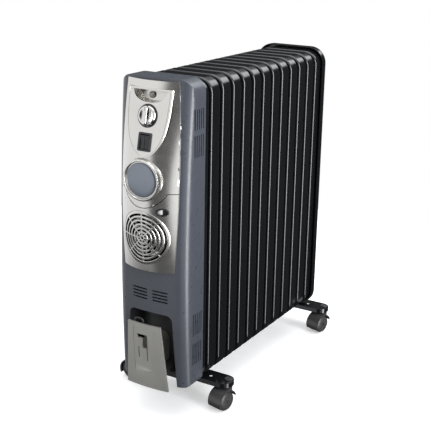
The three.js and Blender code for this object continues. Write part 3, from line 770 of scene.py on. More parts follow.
@dataclass
class FinStack:
    """The pressed steel fins with their oil channels and header bosses."""

    bench: Bench
    count: int = 13
    pitch: float = 37.5
    half: float = 71.0
    top: float = 633.0
    bottom: float = 67.0
    corner: float = 28.0
    depth: float = 26.5
    bend: float = 4.2
    sheet: float = 1.8
    header_r: float = 21.0
    header_low: float = 112.0
    header_high: float = 588.0
    bore: float = 14.0
    hem: float = 1.2
    hem_draw: Point = (0.988, 1, 0.997)
    channel_half: float = 27.0
    channel_front: float = -3.0
    channel_back: float = 11.0

    def _pan(self, face: float) -> Piece:
        """The open pan of one fin, its face at a given depth.

        Args:
            face: depth of the fin's face.

        Returns:
            The pan.
        """
        bench = self.bench
        hem = face + self.depth
        pan = bench.block("fin", (-self.half, face, self.bottom), (self.half, hem, self.top))
        bench.bevel(pan, lambda m, d: abs(d.y) > ALONG, self.corner, 10)
        bench.pick(pan, Kind.FACE, lambda m, n: n.y > ALONG)
        bpy.ops.mesh.delete(type="FACE")
        bench.bevel(pan, lambda m, d: abs(m.y - face) < CLOSE and abs(d.y) < 0.5, self.bend, 4)
        bench.pick(pan, Kind.EDGE, lambda m, d: abs(m.y - hem) < CLOSE and abs(d.y) < 0.5)
        bpy.ops.mesh.extrude_region_move(TRANSFORM_OT_translate={"value": (0, -self.hem * MM, 0)})
        bpy.ops.transform.resize(value=self.hem_draw)
        bpy.ops.object.mode_set(mode="OBJECT")
        bench.modify(pan, "SOLIDIFY", thickness=self.sheet * MM, offset=-1)
        bench.soften(pan, 0.5, 2, 50)
        return pan

    def _bosses(self, face: float, end: float) -> list[Piece]:
        """The header bosses and the oil channel of one fin.

        Args:
            face: depth of the fin's face.
            end: depth where the bosses end.

        Returns:
            The bosses and the channel.
        """
        bench = self.bench
        parts = []
        for z in (self.header_low, self.header_high):
            bore = self.bore if z == self.header_low else self.header_r - 3.0
            ring = bench.turned("boss", [
                (bore, 0.2), (self.header_r, 0.2), (self.header_r, end - face - 1.2),
                (self.header_r - 1.0, end - face), (bore, end - face),
            ], 40, solid=False)
            ring.data.transform(Matrix.Translation((0, face * MM, z * MM)))
            parts.append(ring)
        low = self.header_low + self.header_r + 4
        high = self.header_high - self.header_r - 4
        channel = bench.block("channel", (-self.channel_half, face + self.channel_front, low),
                              (self.channel_half, face + self.channel_back, high))
        bench.bevel(channel, lambda m, d: abs(d.z) > ALONG, 6.8, 6)
        bench.bevel(channel, lambda m, d: abs(d.z) < 0.1, 2.4, 3)
        parts.append(channel)
        for part in parts:
            bench.smooth(part)
        return parts

    def build(self) -> None:
        """Models one fin and sets out all of them; the last has a short boss."""
        first_face = -self.pitch - 2.5
        master = self.bench.weld(
            [self._pan(first_face), *self._bosses(first_face, first_face + self.pitch - 0.4)])
        last = self.bench.weld(
            [self._pan(first_face), *self._bosses(first_face, first_face + self.depth)])
        for k in range(1, self.count + 1):
            source = last if k == self.count else master
            fin = self.bench.twin(source, f"fin_{k:02d}_pressing")
            fin.data.transform(Matrix.Translation((0, (k - 1) * self.pitch * MM, 0)))
            self.bench.deliver(fin, ENAMEL, ROOT, [f"fin_{k:02d}"])
        bpy.data.objects.remove(master)
        bpy.data.objects.remove(last)


@dataclass
class RearCover:
    """The pressed cover over the last fin, with two groups of slots."""

    bench: Bench
    half: float = 77.0
    top: float = COVER_TOP
    bottom: float = 63.0
    corner: float = 34.0
    front: float = 429.0
    bend: float = 5.0
    slots: int = 6
    slot_pitch: float = 14.0
    slot_half: Flat = (40.0, 2.5)
    slot_heights: Flat = (200.0, 500.0)
    back: float = COVER_BACK

    def build(self) -> None:
        """Models the cover and cuts its slots."""
        bench = self.bench
        shell = bench.block("rear_cover_pressing", (-self.half, self.front, self.bottom),
                            (self.half, self.back, self.top))
        bench.bevel(shell, lambda m, d: abs(d.y) > ALONG, self.corner, 12)
        bench.pick(shell, Kind.FACE, lambda m, n: n.y < -ALONG)
        bpy.ops.mesh.delete(type="FACE")
        bench.bevel(shell, lambda m, d: abs(m.y - self.back) < CLOSE and abs(d.y) < 0.5, self.bend, 5)
        bench.modify(shell, "SOLIDIFY", thickness=2 * MM, offset=-1)
        slots = []
        half, rise = self.slot_half
        for z in self.slot_heights:
            for i in range(self.slots):
                middle = z + (i - (self.slots - 1) / 2) * self.slot_pitch
                outline = rounded(-half, half, middle - rise, middle + rise, 2.4, 4)
                slots.append(bench.prism("slot", outline, self.back - 8, self.back + 5))
        bench.combine(shell, bench.weld(slots), Cut.TAKE)
        bench.soften(shell, 0.5, 2, 50)
        bench.deliver(shell, ENAMEL, ROOT, ["rear_cover"])


# ---------------------------------------------------------------- control housing


@dataclass
class Housing:
    """The bowed control housing with its vents and the cord recess."""

    bench: Bench
    half: float = 75.0
    top: float = 638.0
    bottom: float = 76.0
    back: float = -29.0
    front: float = -92.0
    corner: float = 26.0
    wall: float = 2.5
    bow: float = 1.5e-4
    bow_height: float = 310.0
    crown: float = 0.0014
    store_top: float = 216.0
    store_half_top: float = 46.0
    store_half_low: float = 53.0
    store_back: float = -52.0
    store_corner: float = 12.0
    window: tuple[float, ...] = (-42, 42, 316, 623, 8)
    gland_r: float = 6.3
    gland_at: Flat = (30.0, 98.0)
    front_vent_rows: int = 4
    front_vent_low: float = 240.5
    front_vent_pitch: float = 6.1
    front_vent_reach: tuple[Flat, ...] = ((-37.7, -5), (5, 37.7))
    side_vent_rows: tuple[Flat, ...] = ((118, 160), (175, 217), (505, 543), (553, 588))
    side_vent_y: float = -62.0
    side_vent_pitch: float = 6.4
    side_vents: int = 5
    vent_half: float = 1.5

    def skin(self, x: float, z: float) -> float:
        """Depth of the bowed front at a place."""
        return self.front + self.bow * (z - self.bow_height) ** 2 + self.crown * x * x

    def _bowed(self, name: str, inset: float) -> Piece:
        """The housing's solid, drawn in all round by an inset.

        Args:
            name: its name.
            inset: how far it is drawn in.

        Returns:
            The solid.
        """
        bench = self.bench
        half, front = self.half - inset, self.front + inset
        back, corner = self.back + (5 if inset else 0), self.corner - inset
        body = bench.block(name, (-half, front, self.bottom - 8), (half, back, self.top + 8))
        bench.bevel(body, lambda m, d: abs(d.z) > ALONG and m.y < front + 1, corner, 9)
        bench.divide(body, lambda m, d: abs(d.x) > ALONG, 7)
        bench.divide(body, lambda m, d: abs(d.z) > ALONG, 27)

        def bowed(x: float, y: float, z: float) -> Point:
            """Where a point of the plain block lies on the bowed one.

            Args:
                x: place across.
                y: depth.
                z: height.

            Returns:
                The new place.
            """
            share = min(max((back - y) / (back - front), 0.0), 1.0)
            reach = min(abs(x), half - corner)
            return x, y + share * (self.skin(reach, z) - self.front), z

        bench.shape(body, bowed)
        outline = rounded(-half, half, self.bottom + inset, self.top - inset,
                          self.corner - inset, 10, 9 - inset)
        bench.combine(body, bench.prism("outline", outline, -150, 10), Cut.KEEP)
        return body

    def _store(self, grow: float) -> list[Flat]:
        """Front outline of the cord recess, grown by a wall.

        Args:
            grow: the wall.

        Returns:
            The points.
        """
        r = self.store_corner + grow
        low, high = self.store_half_low + grow + 1, self.store_half_top + grow
        top = self.store_top + grow
        points = [(low, self.bottom - 30)]
        for start, cx in ((0, high - r), (90, -high + r)):
            for i in range(9):
                turn = math.radians(start + 90 * i / 8)
                points.append((cx + r * math.cos(turn), top - r + r * math.sin(turn)))
        return [*points, (-low, self.bottom - 30)]

    def _vents(self) -> Piece:
        """Cutters of the front and side vents as one tool.

        Returns:
            The tool.
        """
        bench = self.bench
        cutters = []
        wide = self.vent_half
        for i in range(self.front_vent_rows):
            z = self.front_vent_low + i * self.front_vent_pitch
            for x0, x1 in self.front_vent_reach:
                outline = rounded(x0, x1, z - wide, z + wide, 1.4, 3)
                cutters.append(bench.prism("vent", outline, -110, -70))
        for low, high in self.side_vent_rows:
            for i in range(self.side_vents):
                y = self.side_vent_y + i * self.side_vent_pitch
                for x0, x1 in ((-80, -70), (70, 80)):
                    cutters.append(bench.block("vent", (x0, y - wide, low), (x1, y + wide, high)))
        return bench.weld(cutters)

    def build(self) -> None:
        """Models the shell, then cuts recess, panel window and vents."""
        bench = self.bench
        shell = self._bowed("control_housing_moulding", 0)
        core = self._bowed("core", self.wall)
        store = bench.prism("store_wall", self._store(self.wall), -130, self.store_back + self.wall)
        bench.combine(core, store, Cut.TAKE)
        bench.combine(shell, core, Cut.TAKE)
        for cutter in (
            bench.prism("store", self._store(0), -130, self.store_back),
            bench.prism("window", rounded(*self.window), -120, -60),
            self._vents(),
            bench.rod("gland_hole", self.gland_r, self.store_back - 2, self.store_back + 6,
                      *self.gland_at),
            bench.block("fin_gap", (-66, -60, self.bottom - 5),
                        (66, -20, self.bottom + self.wall + 0.5)),
        ):
            bench.combine(shell, cutter, Cut.TAKE)
        bench.soften(shell, 0.7, 2, 40)
        # Faces deep in the cord recess get the dark finish: painted shade for the shadow inside the
        # recess.
        bench.deliver(shell, SLATE, ROOT, ["control_housing"], painted_shade=self._in_store_shade)

    def _in_store_shade(self, middle: Vector) -> bool:
        """Whether a face lies inside the cord recess, where the dark finish is painted as shade.

        Args:
            middle: the face's middle.

        Returns:
            True inside the recess.
        """
        reach = self.store_half_low + 2
        deep = middle.y > self.skin(middle.x, middle.z) + 1.6
        return abs(middle.x) < reach and middle.z < self.store_top + 0.5 and deep


# ---------------------------------------------------------------- silver panels


@dataclass
class FrontPanels:
    """The crowned silver panels and the sloped inset with its finger pocket."""

    bench: Bench
    housing: Housing
    top: float = 634.0
    bottom: float = 301.0
    wall: float = 3.0
    split: float = 445.0
    split_gap: float = 1.3
    boss_z: float = 467.0
    boss_r: float = 37.0
    collar: float = 49.0
    grille_z: float = 363.0
    grille_r: float = 49.0
    gap: float = 0.35
    inset_y: float = -103.5
    inset_z: float = 530.0
    slope: float = 0.21
    shield_top: float = 621.0
    shield_tip: float = 505.0
    shield_half: float = 45.0
    pocket_half: float = 34.0
    pocket_top: float = 617.0
    pocket_low: float = 597.0
    pocket_depth: float = 20.0
    widest: float = 59.0
    widest_z: float = 470.0
    waist: float = 7.0
    waist_reach: float = 165.0
    crown_edge: float = 8.0
    crown_rise: float = 18.0
    proud: float = 3.4

    def half(self, z: float) -> float:
        """Half the width of the panel at a height."""
        ease = 1.0 if z > self.widest_z else 0.95
        return self.widest - self.waist * ((z - self.widest_z) / self.waist_reach) ** 2 * ease

    def skin(self, u: float, z: float) -> float:
        """Depth of the panel at a share u of its half width.

        Args:
            u: the share, from -1 to 1.
            z: the height.

        Returns:
            The depth.
        """
        turn = math.pi * min(max((654 - z) / 420, 0.0), 1.0)
        bulge = self.crown_edge + self.crown_rise * max(math.sin(turn), 0.0) ** 1.2
        return self.housing.skin(self.half(z), z) - self.proud - bulge * (1 - u * u)

    def at(self, x: float, z: float) -> float:
        """Depth of the panel at a place."""
        return self.skin(x / self.half(z), z)

    def slab(self, name: str, wall: float, lift: float = 0.0) -> Piece:
        """The whole crowned panel as a solid of a given wall.

        Args:
            name: its name.
            wall: the wall.
            lift: how far it stands forward of the panel.

        Returns:
            The solid.
        """
        bench = self.bench
        body = bench.block(name, (-UNIT, 0, self.bottom), (UNIT, UNIT, self.top))
        bench.divide(body, lambda m, d: abs(d.x) > ALONG, 47)
        bench.divide(body, lambda m, d: abs(d.z) > ALONG, 65)

        def crowned(x: float, y: float, z: float) -> Point:
            """Where a point of the plain block lies on the crowned panel."""
            u = x / UNIT
            return u * self.half(z), self.skin(u, z) - lift + y / UNIT * wall, z

        bench.shape(body, crowned)
        return body

    def shield(self, grow: float) -> list[Flat]:
        """Outline of the inset, grown by a margin.

        Args:
            grow: the margin.

        Returns:
            The points.
        """
        half, top = self.shield_half + grow, self.shield_top + grow
        tip, belly = self.shield_tip - grow - 4, self.shield_tip + 12
        flank, knee = self.shield_top - 70, half * 0.82
        left = bezier((-half, top), (-half, flank), (-knee, belly), (0, tip), 24)
        right = bezier((0, tip), (knee, belly), (half, flank), (half, top), 24)
        return [*left, *right, (half, top)]

    def pocket(self, grow: float) -> list[Flat]:
        """Outline of the finger pocket, grown by a margin.

        Args:
            grow: the margin.

        Returns:
            The points.
        """
        half, low, top = self.pocket_half + grow, self.pocket_low - grow, self.pocket_top + grow
        left = bezier((-half, top), (-half + 2, low + 4), (-half * 0.45, low), (0, low), 18)
        right = bezier((0, low), (half * 0.45, low), (half - 2, low + 4), (half, top), 18)
        return [*left, *right, (half, top)]

    def tilted(self, name: str, y0: float, y1: float) -> Piece:
        """A slab parallel to the inset's plane, between two distances from it.

        Args:
            name: its name.
            y0: nearer distance.
            y1: further distance.

        Returns:
            The slab.
        """
        slab = self.bench.block(name, (-80, y0, -120), (80, y1, 120))
        slab.data.transform(self.seat(self.inset_z))
        return slab

    def seat(self, z: float) -> Matrix:
        """From a frame on the inset's plane at a height to the design frame.

        Args:
            z: the height.

        Returns:
            The matrix.
        """
        y = self.inset_y + self.slope * (z - self.inset_z)
        turn = Matrix.Rotation(-math.atan(self.slope), 4, "X")
        return Matrix.Translation((0, y * MM, z * MM)) @ turn

    def _split_tool(self, shrink: float) -> Piece:
        """The solid that belongs to the upper panel.

        Args:
            shrink: how far it is drawn back from the split.

        Returns:
            The solid.
        """
        bench = self.bench
        tool = bench.block("upper_half", (-90, -150, self.split + shrink), (90, -60, 700))
        collar = bench.rod("collar", self.collar - shrink, -150, -60, 0, self.boss_z, 96)
        bench.combine(tool, collar, Cut.ADD)
        return tool

    def _round_hole(self, r: float, z: float) -> Piece:
        """The cutter of a round hole through the panel."""
        return self.bench.rod("round_hole", r + self.gap, -140, -60, 0, z, 96)

    def _upper(self) -> None:
        """Models the upper panel with the skirt round the inset."""
        bench = self.bench
        panel = self.slab("upper_panel_moulding", self.wall)
        skirt = bench.prism("skirt", self.shield(2.2), -130, -81.2)
        bench.combine(skirt, bench.prism("skirt_hole", self.shield(0), -135, -70), Cut.TAKE)
        bench.combine(skirt, self.slab("behind", 40, -0.5), Cut.KEEP)
        reach = bench.block("skirt_reach", (-41.5, -140, 480), (41.5, -60, 617.5))
        bench.combine(skirt, reach, Cut.KEEP)
        bench.combine(panel, skirt, Cut.ADD)
        bench.combine(panel, self._split_tool(self.split_gap / 2), Cut.KEEP)
        bench.combine(panel, bench.prism("opening", self.shield(0), -140, -70), Cut.TAKE)
        bench.combine(panel, self._round_hole(self.boss_r, self.boss_z), Cut.TAKE)
        bench.soften(panel, 0.8, 3, 40)
        bench.deliver(panel, CHAMPAGNE, ROOT, ["upper_panel"])

    def _lower(self, oval: Piece) -> None:
        """Models the lower panel round the grille and the fan switch.

        Args:
            oval: the cutter of the fan switch's opening.
        """
        bench = self.bench
        panel = self.slab("lower_panel_moulding", self.wall)
        bench.combine(panel, self._split_tool(-self.split_gap / 2), Cut.TAKE)
        bench.combine(panel, self._round_hole(self.grille_r, self.grille_z), Cut.TAKE)
        bench.combine(panel, oval, Cut.TAKE)
        bench.soften(panel, 0.8, 3, 40)
        bench.deliver(panel, CHAMPAGNE, ROOT, ["lower_panel"])

    def _inset(self, controls: "Controls") -> None:
        """Models the sloped inset with pocket, knob groove and switch opening.

        Args:
            controls: the knob, switch and lamp, for their openings.
        """
        bench, gap = self.bench, self.gap
        plate = bench.prism("control_inset_moulding", self.shield(-gap), -144, -43)
        bench.combine(plate, self.tilted("skin", 0, 4), Cut.KEEP)
        cup = bench.prism("cup", self.pocket(2), -130, -50)
        bench.combine(cup, self.tilted("cup_depth", 0.4, self.pocket_depth + 2.2), Cut.KEEP)
        bench.combine(plate, cup, Cut.ADD)
        hollow = bench.prism("hollow", self.pocket(0), -135, -45)
        bench.combine(hollow, self.tilted("hollow_depth", -40, self.pocket_depth), Cut.KEEP)
        border = bench.prism("border", self.shield(-3.4), -144, -43)
        bench.combine(border, bench.prism("border_inner", self.shield(-4.6), -145, -42), Cut.TAKE)
        bench.combine(border, self.tilted("border_depth", -8, 0.6), Cut.KEEP)
        groove = bench.rod("groove", controls.knob_r + 2.6, -2.2, 2.2, 0, 0, 72)
        shaft = bench.rod("shaft_hole", 4, -10, 15, 0, 0, 32)
        for tool in (groove, shaft):
            tool.data.transform(self.seat(controls.knob_z))
        w, h = (size / 2 - 1.5 for size in controls.switch_size)
        well = bench.block("well", (-w, -15, -h), (w, 15, h))
        well.data.transform(self.seat(controls.switch_z))
        lamp_hole = bench.rod("lamp_hole", 3.6, -100, -60, *controls.lamp_at, 32)
        boss = self._round_hole(self.boss_r, self.boss_z)
        for tool in (hollow, border, groove, shaft, well, lamp_hole, boss):
            bench.combine(plate, tool, Cut.TAKE)
        bench.soften(plate, 0.5, 2, 40)
        bench.deliver(plate, CHAMPAGNE, ROOT, ["control_inset"])

    def build(self, oval: Piece, controls: "Controls") -> None:
        """Models the three panel pieces.

        Args:
            oval: the cutter of the fan switch's opening.
            controls: the knob, switch and lamp, for their openings.
        """
        self._upper()
        self._lower(oval)
        self._inset(controls)


# ---------------------------------------------------------------- controls


@dataclass
class Controls:
    """The thermostat knob, the twin rocker switch and the pilot lamp."""

    bench: Bench
    knob_z: float = 575.0
    knob_r: float = 17.6
    knob_height: float = 11.0
    switch_z: float = 531.5
    switch_size: Flat = (25.6, 32.0)
    lamp_at: Flat = (-8.0, 606.5)
    lamp_r: float = 6.0

    def _knob(self, seat: Matrix) -> None:
        """The chrome knob with its grip, pointer groove and shaft.

        Args:
            seat: from the piece's own frame to the design frame.
        """
        bench = self.bench
        r = self.knob_r
        disc = bench.turned("thermostat_knob_turning", [
            (0, -2.6), (r * 0.45, -3.2), (r - 4.4, -4.9), (r - 3.0, -5.4), (r - 1.6, -5.0),
            (r - 0.4, -3.6), (r, -1.8),
            (r, 1.4), (3, 1.4), (3, 16), (0, 16),
        ], 80)
        high = self.knob_height
        grip = bench.block("grip", (-4.4, -high, -r + 1.6), (4.4, -3, r - 1.6))
        bench.bevel(grip, lambda m, d: abs(d.y) > ALONG, 4.0, 6)
        bench.bevel(grip, lambda m, d: m.y < 0.1 - high, 1.8, 4)
        pointer = bench.block("pointer", (-0.7, -high - 1, 6), (0.7, -high + 0.7, r - 3))
        bench.combine(grip, pointer, Cut.TAKE)
        bench.combine(disc, grip, Cut.ADD)
        bench.soften(disc, 0.35, 2, 40)
        bench.deliver(disc, CHROME, "thermostat_knob", ["thermostat_knob"], seat)

    def _ring(self, seat: Matrix) -> None:
        """The dark ring round the knob.

        Args:
            seat: from the piece's own frame to the design frame.
        """
        r = self.knob_r
        ring = self.bench.turned("knob_ring_moulding", [
            (r + 0.6, 1.6), (r + 0.6, -1.0), (r + 1.0, -1.4),
            (r + 1.8, -1.4), (r + 2.2, -1.0), (r + 2.2, 1.6),
        ], 80, solid=False)
        self.bench.smooth(ring)
        self.bench.deliver(ring, DARK, ROOT, ["knob_ring"], seat)

    def _lamp(self, panels: FrontPanels) -> None:
        """The lamp's lens with its bezel.

        Args:
            panels: the panels it is set in.
        """
        r = self.lamp_r
        lamp = self.bench.turned("pilot_lamp_lens_moulding", [
            (0, -5.2), (r * 0.4, -5.0), (r * 0.62, -4.2), (r * 0.72, -3.2), (r * 0.8, -3.6),
            (r * 0.92, -3.4), (r, -2.6), (r, -1.6), (3.2, -1.6), (3.2, 9), (0, 9),
        ], 48)
        self.bench.smooth(lamp, 30)
        x, z = self.lamp_at
        depth = panels.inset_y + panels.slope * (z - panels.inset_z)
        depth += panels.pocket_depth * math.hypot(1, panels.slope)
        place = Matrix.Translation((x * MM, depth * MM, z * MM))
        self.bench.deliver(lamp, LENS, ROOT, ["pilot_lamp"], place)

    def _switch(self, seat: Matrix) -> None:
        """The switch frame with its two rockers.

        Args:
            seat: from the piece's own frame to the design frame.
        """
        bench = self.bench
        w, h = (size / 2 for size in self.switch_size)
        frame = bench.prism("switch_frame_moulding", rounded(-w, w, -h, h, 2.5, 5), -2.4, -0.35)
        tub = bench.block("tub", (-w + 2, -1, -h + 2), (w - 2, 16, h - 2))
        bench.combine(frame, tub, Cut.ADD)
        well = bench.block("well", (-w + 3.2, -10, -h + 3.2), (w - 3.2, 13, h - 3.2))
        bench.combine(frame, well, Cut.TAKE)
        bench.soften(frame, 0.5, 2, 40)
        bench.deliver(frame, DARK, ROOT, ["switch_frame"], seat)
        for side in SIDES:
            key = bench.refined(f"rocker_{side}", 0.6, 20)
            key.name = f"rocker_{side}_key"
            bench.deliver(key, DARK, f"rocker_{side}", [f"rocker_{side}"])

    def build(self, panels: FrontPanels) -> None:
        """Models the controls on the sloped inset.

        Args:
            panels: the panels.
        """
        self._knob(panels.seat(self.knob_z))
        self._ring(panels.seat(self.knob_z))
        self._lamp(panels)
        self._switch(panels.seat(self.switch_z))


@dataclass
class Boss:
    """The round boss with its blank badge."""

    bench: Bench
    z: float = 467.0
    r: float = 37.0
    badge: float = 30.5
    face: float = -117.5

    def build(self) -> None:
        """Models the drum and the badge."""
        bench, r, b = self.bench, self.r, self.badge
        place = Matrix.Translation((0, (self.face + 3.8) * MM, self.z * MM))
        drum = bench.turned("badge_drum_turning", [
            (0, 0), (b + 1.6, 0), (b + 2.2, -0.6), (b + 2.2, -2.8), (b + 3.0, -3.7), (r - 2.2, -3.8),
            (r - 0.8, -3.2), (r, -1.8), (r, 4.4), (r - 0.7, 5.0), (r - 0.7, 6.0), (r, 6.6),
            (r, 20), (r - 3, 20), (r - 3, 3), (0, 3),
        ], 112)
        bench.smooth(drum, 34)
        bench.deliver(drum, CHAMPAGNE, ROOT, ["badge_drum"], place)
        disc = bench.turned("badge_disc_moulding", [
            (0, -3.1), (8, -3.05), (16, -2.8), (22, -2.4), (b - 2.4, -1.8), (b - 1.0, -1.5),
            (b - 0.2, -0.9), (b, -0.35), (0, -0.35),
        ], 96)
        bench.smooth(disc, 34)
        bench.deliver(disc, BADGE, ROOT, ["badge_disc"], place)


@dataclass
class FanOutlet:
    """The round grille, the oval fan switch and what lies behind the grille."""

    bench: Bench
    panels: FrontPanels
    z: float = 363.0
    r: float = 49.0
    pitch: float = 7.0
    slot: float = 3.7
    rings: int = 6
    spokes: int = 8
    spoke: float = 2.6
    bar_edge: float = 0.7
    bar_depth: float = 2.4
    proud: float = 0.8
    switch_at: Flat = (37.0, 413.0)
    switch_size: Flat = (22.0, 13.0)
    switch_turn: float = 30.0

    def _bar(self, inner: float, outer: float) -> Piece:
        """One rounded ring of the grille.

        Args:
            inner: its inner radius.
            outer: its outer radius.

        Returns:
            The ring.
        """
        e, thick = self.bar_edge, self.bar_depth
        return self.bench.turned("grille_ring", [
            (inner, thick), (inner, e), (inner + e, 0), (outer - e, 0), (outer, e), (outer, thick),
        ], 96, solid=False)

    def _grille(self) -> None:
        """The grille, bent to follow the panel's crown."""
        bench = self.bench
        parts = [self._bar(2.4, self.pitch - self.slot / 2)]
        for k in range(1, self.rings):
            inner = k * self.pitch + self.slot / 2
            parts.append(self._bar(inner, inner + self.pitch - self.slot))
        rim = self.rings * self.pitch + self.slot / 2
        parts.append(bench.turned("grille_rim", [
            (rim, self.bar_depth), (rim, self.bar_edge), (rim + self.bar_edge, 0),
            (self.r - 1.4, 0), (self.r, 1.2), (self.r, 10.8),
            (self.r - 2.6, 10.8), (self.r - 2.6, self.bar_depth),
        ], 112, solid=False))
        for i in range(self.spokes):
            bar = bench.block("spoke", (4.0, 0.25, -self.spoke / 2), (rim + 1, 2.2, self.spoke / 2))
            bench.bevel(bar, lambda m, d: abs(d.x) > ALONG and m.y < 1, 0.5, 2)
            bench.divide(bar, lambda m, d: abs(d.x) > ALONG, 9)
            bar.data.transform(Matrix.Rotation(i * 2 * math.pi / self.spokes, 4, "Y"))
            parts.append(bar)
        grille = bench.weld(parts)
        grille.name = "fan_grille_moulding"
        bench.shape(grille, lambda x, y, z: (
            x, self.panels.at(x, z + self.z) - self.proud + y, z + self.z))
        bench.smooth(grille, 40)
        bench.deliver(grille, CHAMPAGNE, ROOT, ["fan_grille"])

    def switch_seat(self) -> Matrix:
        """From the fan switch's own frame to the design frame."""
        x, z = self.switch_at
        move = Matrix.Translation((x * MM, self.panels.at(x, z) * MM, z * MM))
        return move @ Matrix.Rotation(math.radians(self.switch_turn), 4, "Z")

    def oval(self, name: str, w: float, h: float, y0: float, y1: float) -> Piece:
        """An oval solid in the fan switch's frame.

        Args:
            name: its name.
            w: width.
            h: height.
            y0: nearer end.
            y1: further end.

        Returns:
            The solid.
        """
        body = self.bench.rod(name, UNIT, y0, y1, 0, 0, 64)
        self.bench.shape(body, lambda x, y, z: (x / UNIT * w / 2, y, z / UNIT * h / 2))
        return body

    def opening(self) -> Piece:
        """The cutter of the fan switch's opening.

        Returns:
            The cutter.
        """
        w, h = self.switch_size
        tool = self.oval("switch_opening", w + 1.2, h + 1.2, -30, 30)
        tool.data.transform(self.switch_seat())
        return tool

    def _switch(self) -> None:
        """The fan switch's bezel and its chrome rocker."""
        bench = self.bench
        w, h = self.switch_size
        bezel = self.oval("fan_switch_bezel_moulding", w, h, -1.6, 9)
        bench.combine(bezel, self.oval("well", w - 4, h - 3.4, -5, 7.5), Cut.TAKE)
        bench.soften(bezel, 0.6, 3, 40)
        bench.deliver(bezel, DARK, ROOT, ["fan_switch_bezel"], self.switch_seat())
        key = bench.refined("fan_switch_rocker", 0.7, 25)
        key.name = "fan_switch_key"
        bench.deliver(key, CHROME, "fan_rocker", ["fan_switch_rocker"])

    def build(self) -> None:
        """Models the grille, the switch and the fan."""
        self._grille()
        self._switch()
        for node, finish, body, width in (
            ("fan_impeller", DARK, "impeller", 0.4),
            ("fan_motor", DARK, ROOT, 0.6),
            ("fan_heater", ZINC, ROOT, 0.0),
        ):
            self.bench.deliver(self.bench.refined(node, width), finish, body, [node])


# ---------------------------------------------------------------- cord store


@dataclass
class CordStore:
    """The winding plate with its plug clip, the cord loop and the cord gland."""

    bench: Bench
    top: float = 200.0
    low: float = 71.0
    half_top: float = 35.0
    half_low: float = 45.0
    y_top: float = -111.5
    y_low: float = -101.5
    wall: float = 3.0
    crown: float = 0.0016
    store_back: float = -52.0
    clip_cuts: tuple[tuple[Flat, Flat], ...] = (
        ((-5, 151), (7, 178)), ((-14, 130), (-12, 152)), ((4.5, 126), (6.5, 152)),
    )

    def _slab(self, name: str, wall: float, lift: float) -> Piece:
        """The crowned trapezoid of the plate as a solid.

        Args:
            name: its name.
            wall: the wall.
            lift: how far it stands forward of the plate.

        Returns:
            The solid.
        """
        bench = self.bench
        body = bench.block(name, (-UNIT, 0, self.low), (UNIT, UNIT, self.top))
        bench.bevel(body, lambda m, d: abs(d.y) > ALONG, 3.0, 4)
        bench.divide(body, lambda m, d: abs(d.x) > ALONG, 23)

        def placed(x: float, y: float, z: float) -> Point:
            """Where a point of the plain block lies on the sloped plate.

            Args:
                x: place across.
                y: depth.
                z: height.

            Returns:
                The new place.
            """
            share = (z - self.low) / (self.top - self.low)
            half = self.half_low + (self.half_top - self.half_low) * share
            px = x / UNIT * half
            depth = self.y_low + (self.y_top - self.y_low) * share
            return px, depth - lift + self.crown * px * px + y / UNIT * wall, z

        bench.shape(body, placed)
        return body

    def build(self) -> None:
        """Models the plate on its winding post, the loop and the gland."""
        bench = self.bench
        plate = self._slab("cord_plate_moulding", self.wall, 0)
        clip = bench.block("clip", (-16, -130, 171), (7, -60, 178))
        for (x0, z0), (x1, z1) in self.clip_cuts:
            bench.combine(clip, bench.block("slit", (x0, -130, z0), (x1, -60, z1)), Cut.ADD)
        bench.combine(plate, clip, Cut.TAKE)
        ring = bench.prism("emboss", rounded(-24, 22, 100, 192, 5, 6), -130, -60)
        hole = bench.prism("emboss_hole", rounded(-22.6, 20.6, 101.4, 190.6, 4, 6), -131, -59)
        bench.combine(ring, hole, Cut.TAKE)
        bench.combine(ring, self._slab("emboss_depth", 6, 5.3), Cut.KEEP)
        bench.combine(plate, ring, Cut.TAKE)
        post_line = rounded(-17, 17, 104, 168, 15, 10)
        post = bench.prism("post", post_line, -104, self.store_back - 0.35)
        relief = bench.block("post_relief", (-16.5, -130, 120), (7.5, -92, 182))
        bench.combine(post, relief, Cut.TAKE)
        bench.combine(plate, post, Cut.ADD)
        bench.soften(plate, 0.5, 2, 40)
        bench.deliver(plate, PLATE_SILVER, ROOT, ["cord_plate"])
        bench.deliver(bench.refined("cord_hook", 0.0), DARK, ROOT, ["cord_hook"])
        bench.deliver(bench.refined("cord_gland", 0.4), DARK, ROOT, ["cord_gland"])


# ---------------------------------------------------------------- foot bars and castors


@dataclass
class FootBars:
    """The two pressed foot bars with their U bolts."""

    bench: Bench

    def build(self) -> None:
        """Rounds the pressings and the bolts."""
        for end in ENDS:
            bar = self.bench.refined(f"{end}_foot_bar", 0.9, 50)
            self.bench.deliver(bar, ENAMEL, ROOT, [f"{end}_foot_bar"])
            bolt = self.bench.refined(f"{end}_clamp", 0.3, 50)
            self.bench.deliver(bolt, ZINC, ROOT, [f"{end}_clamp"])


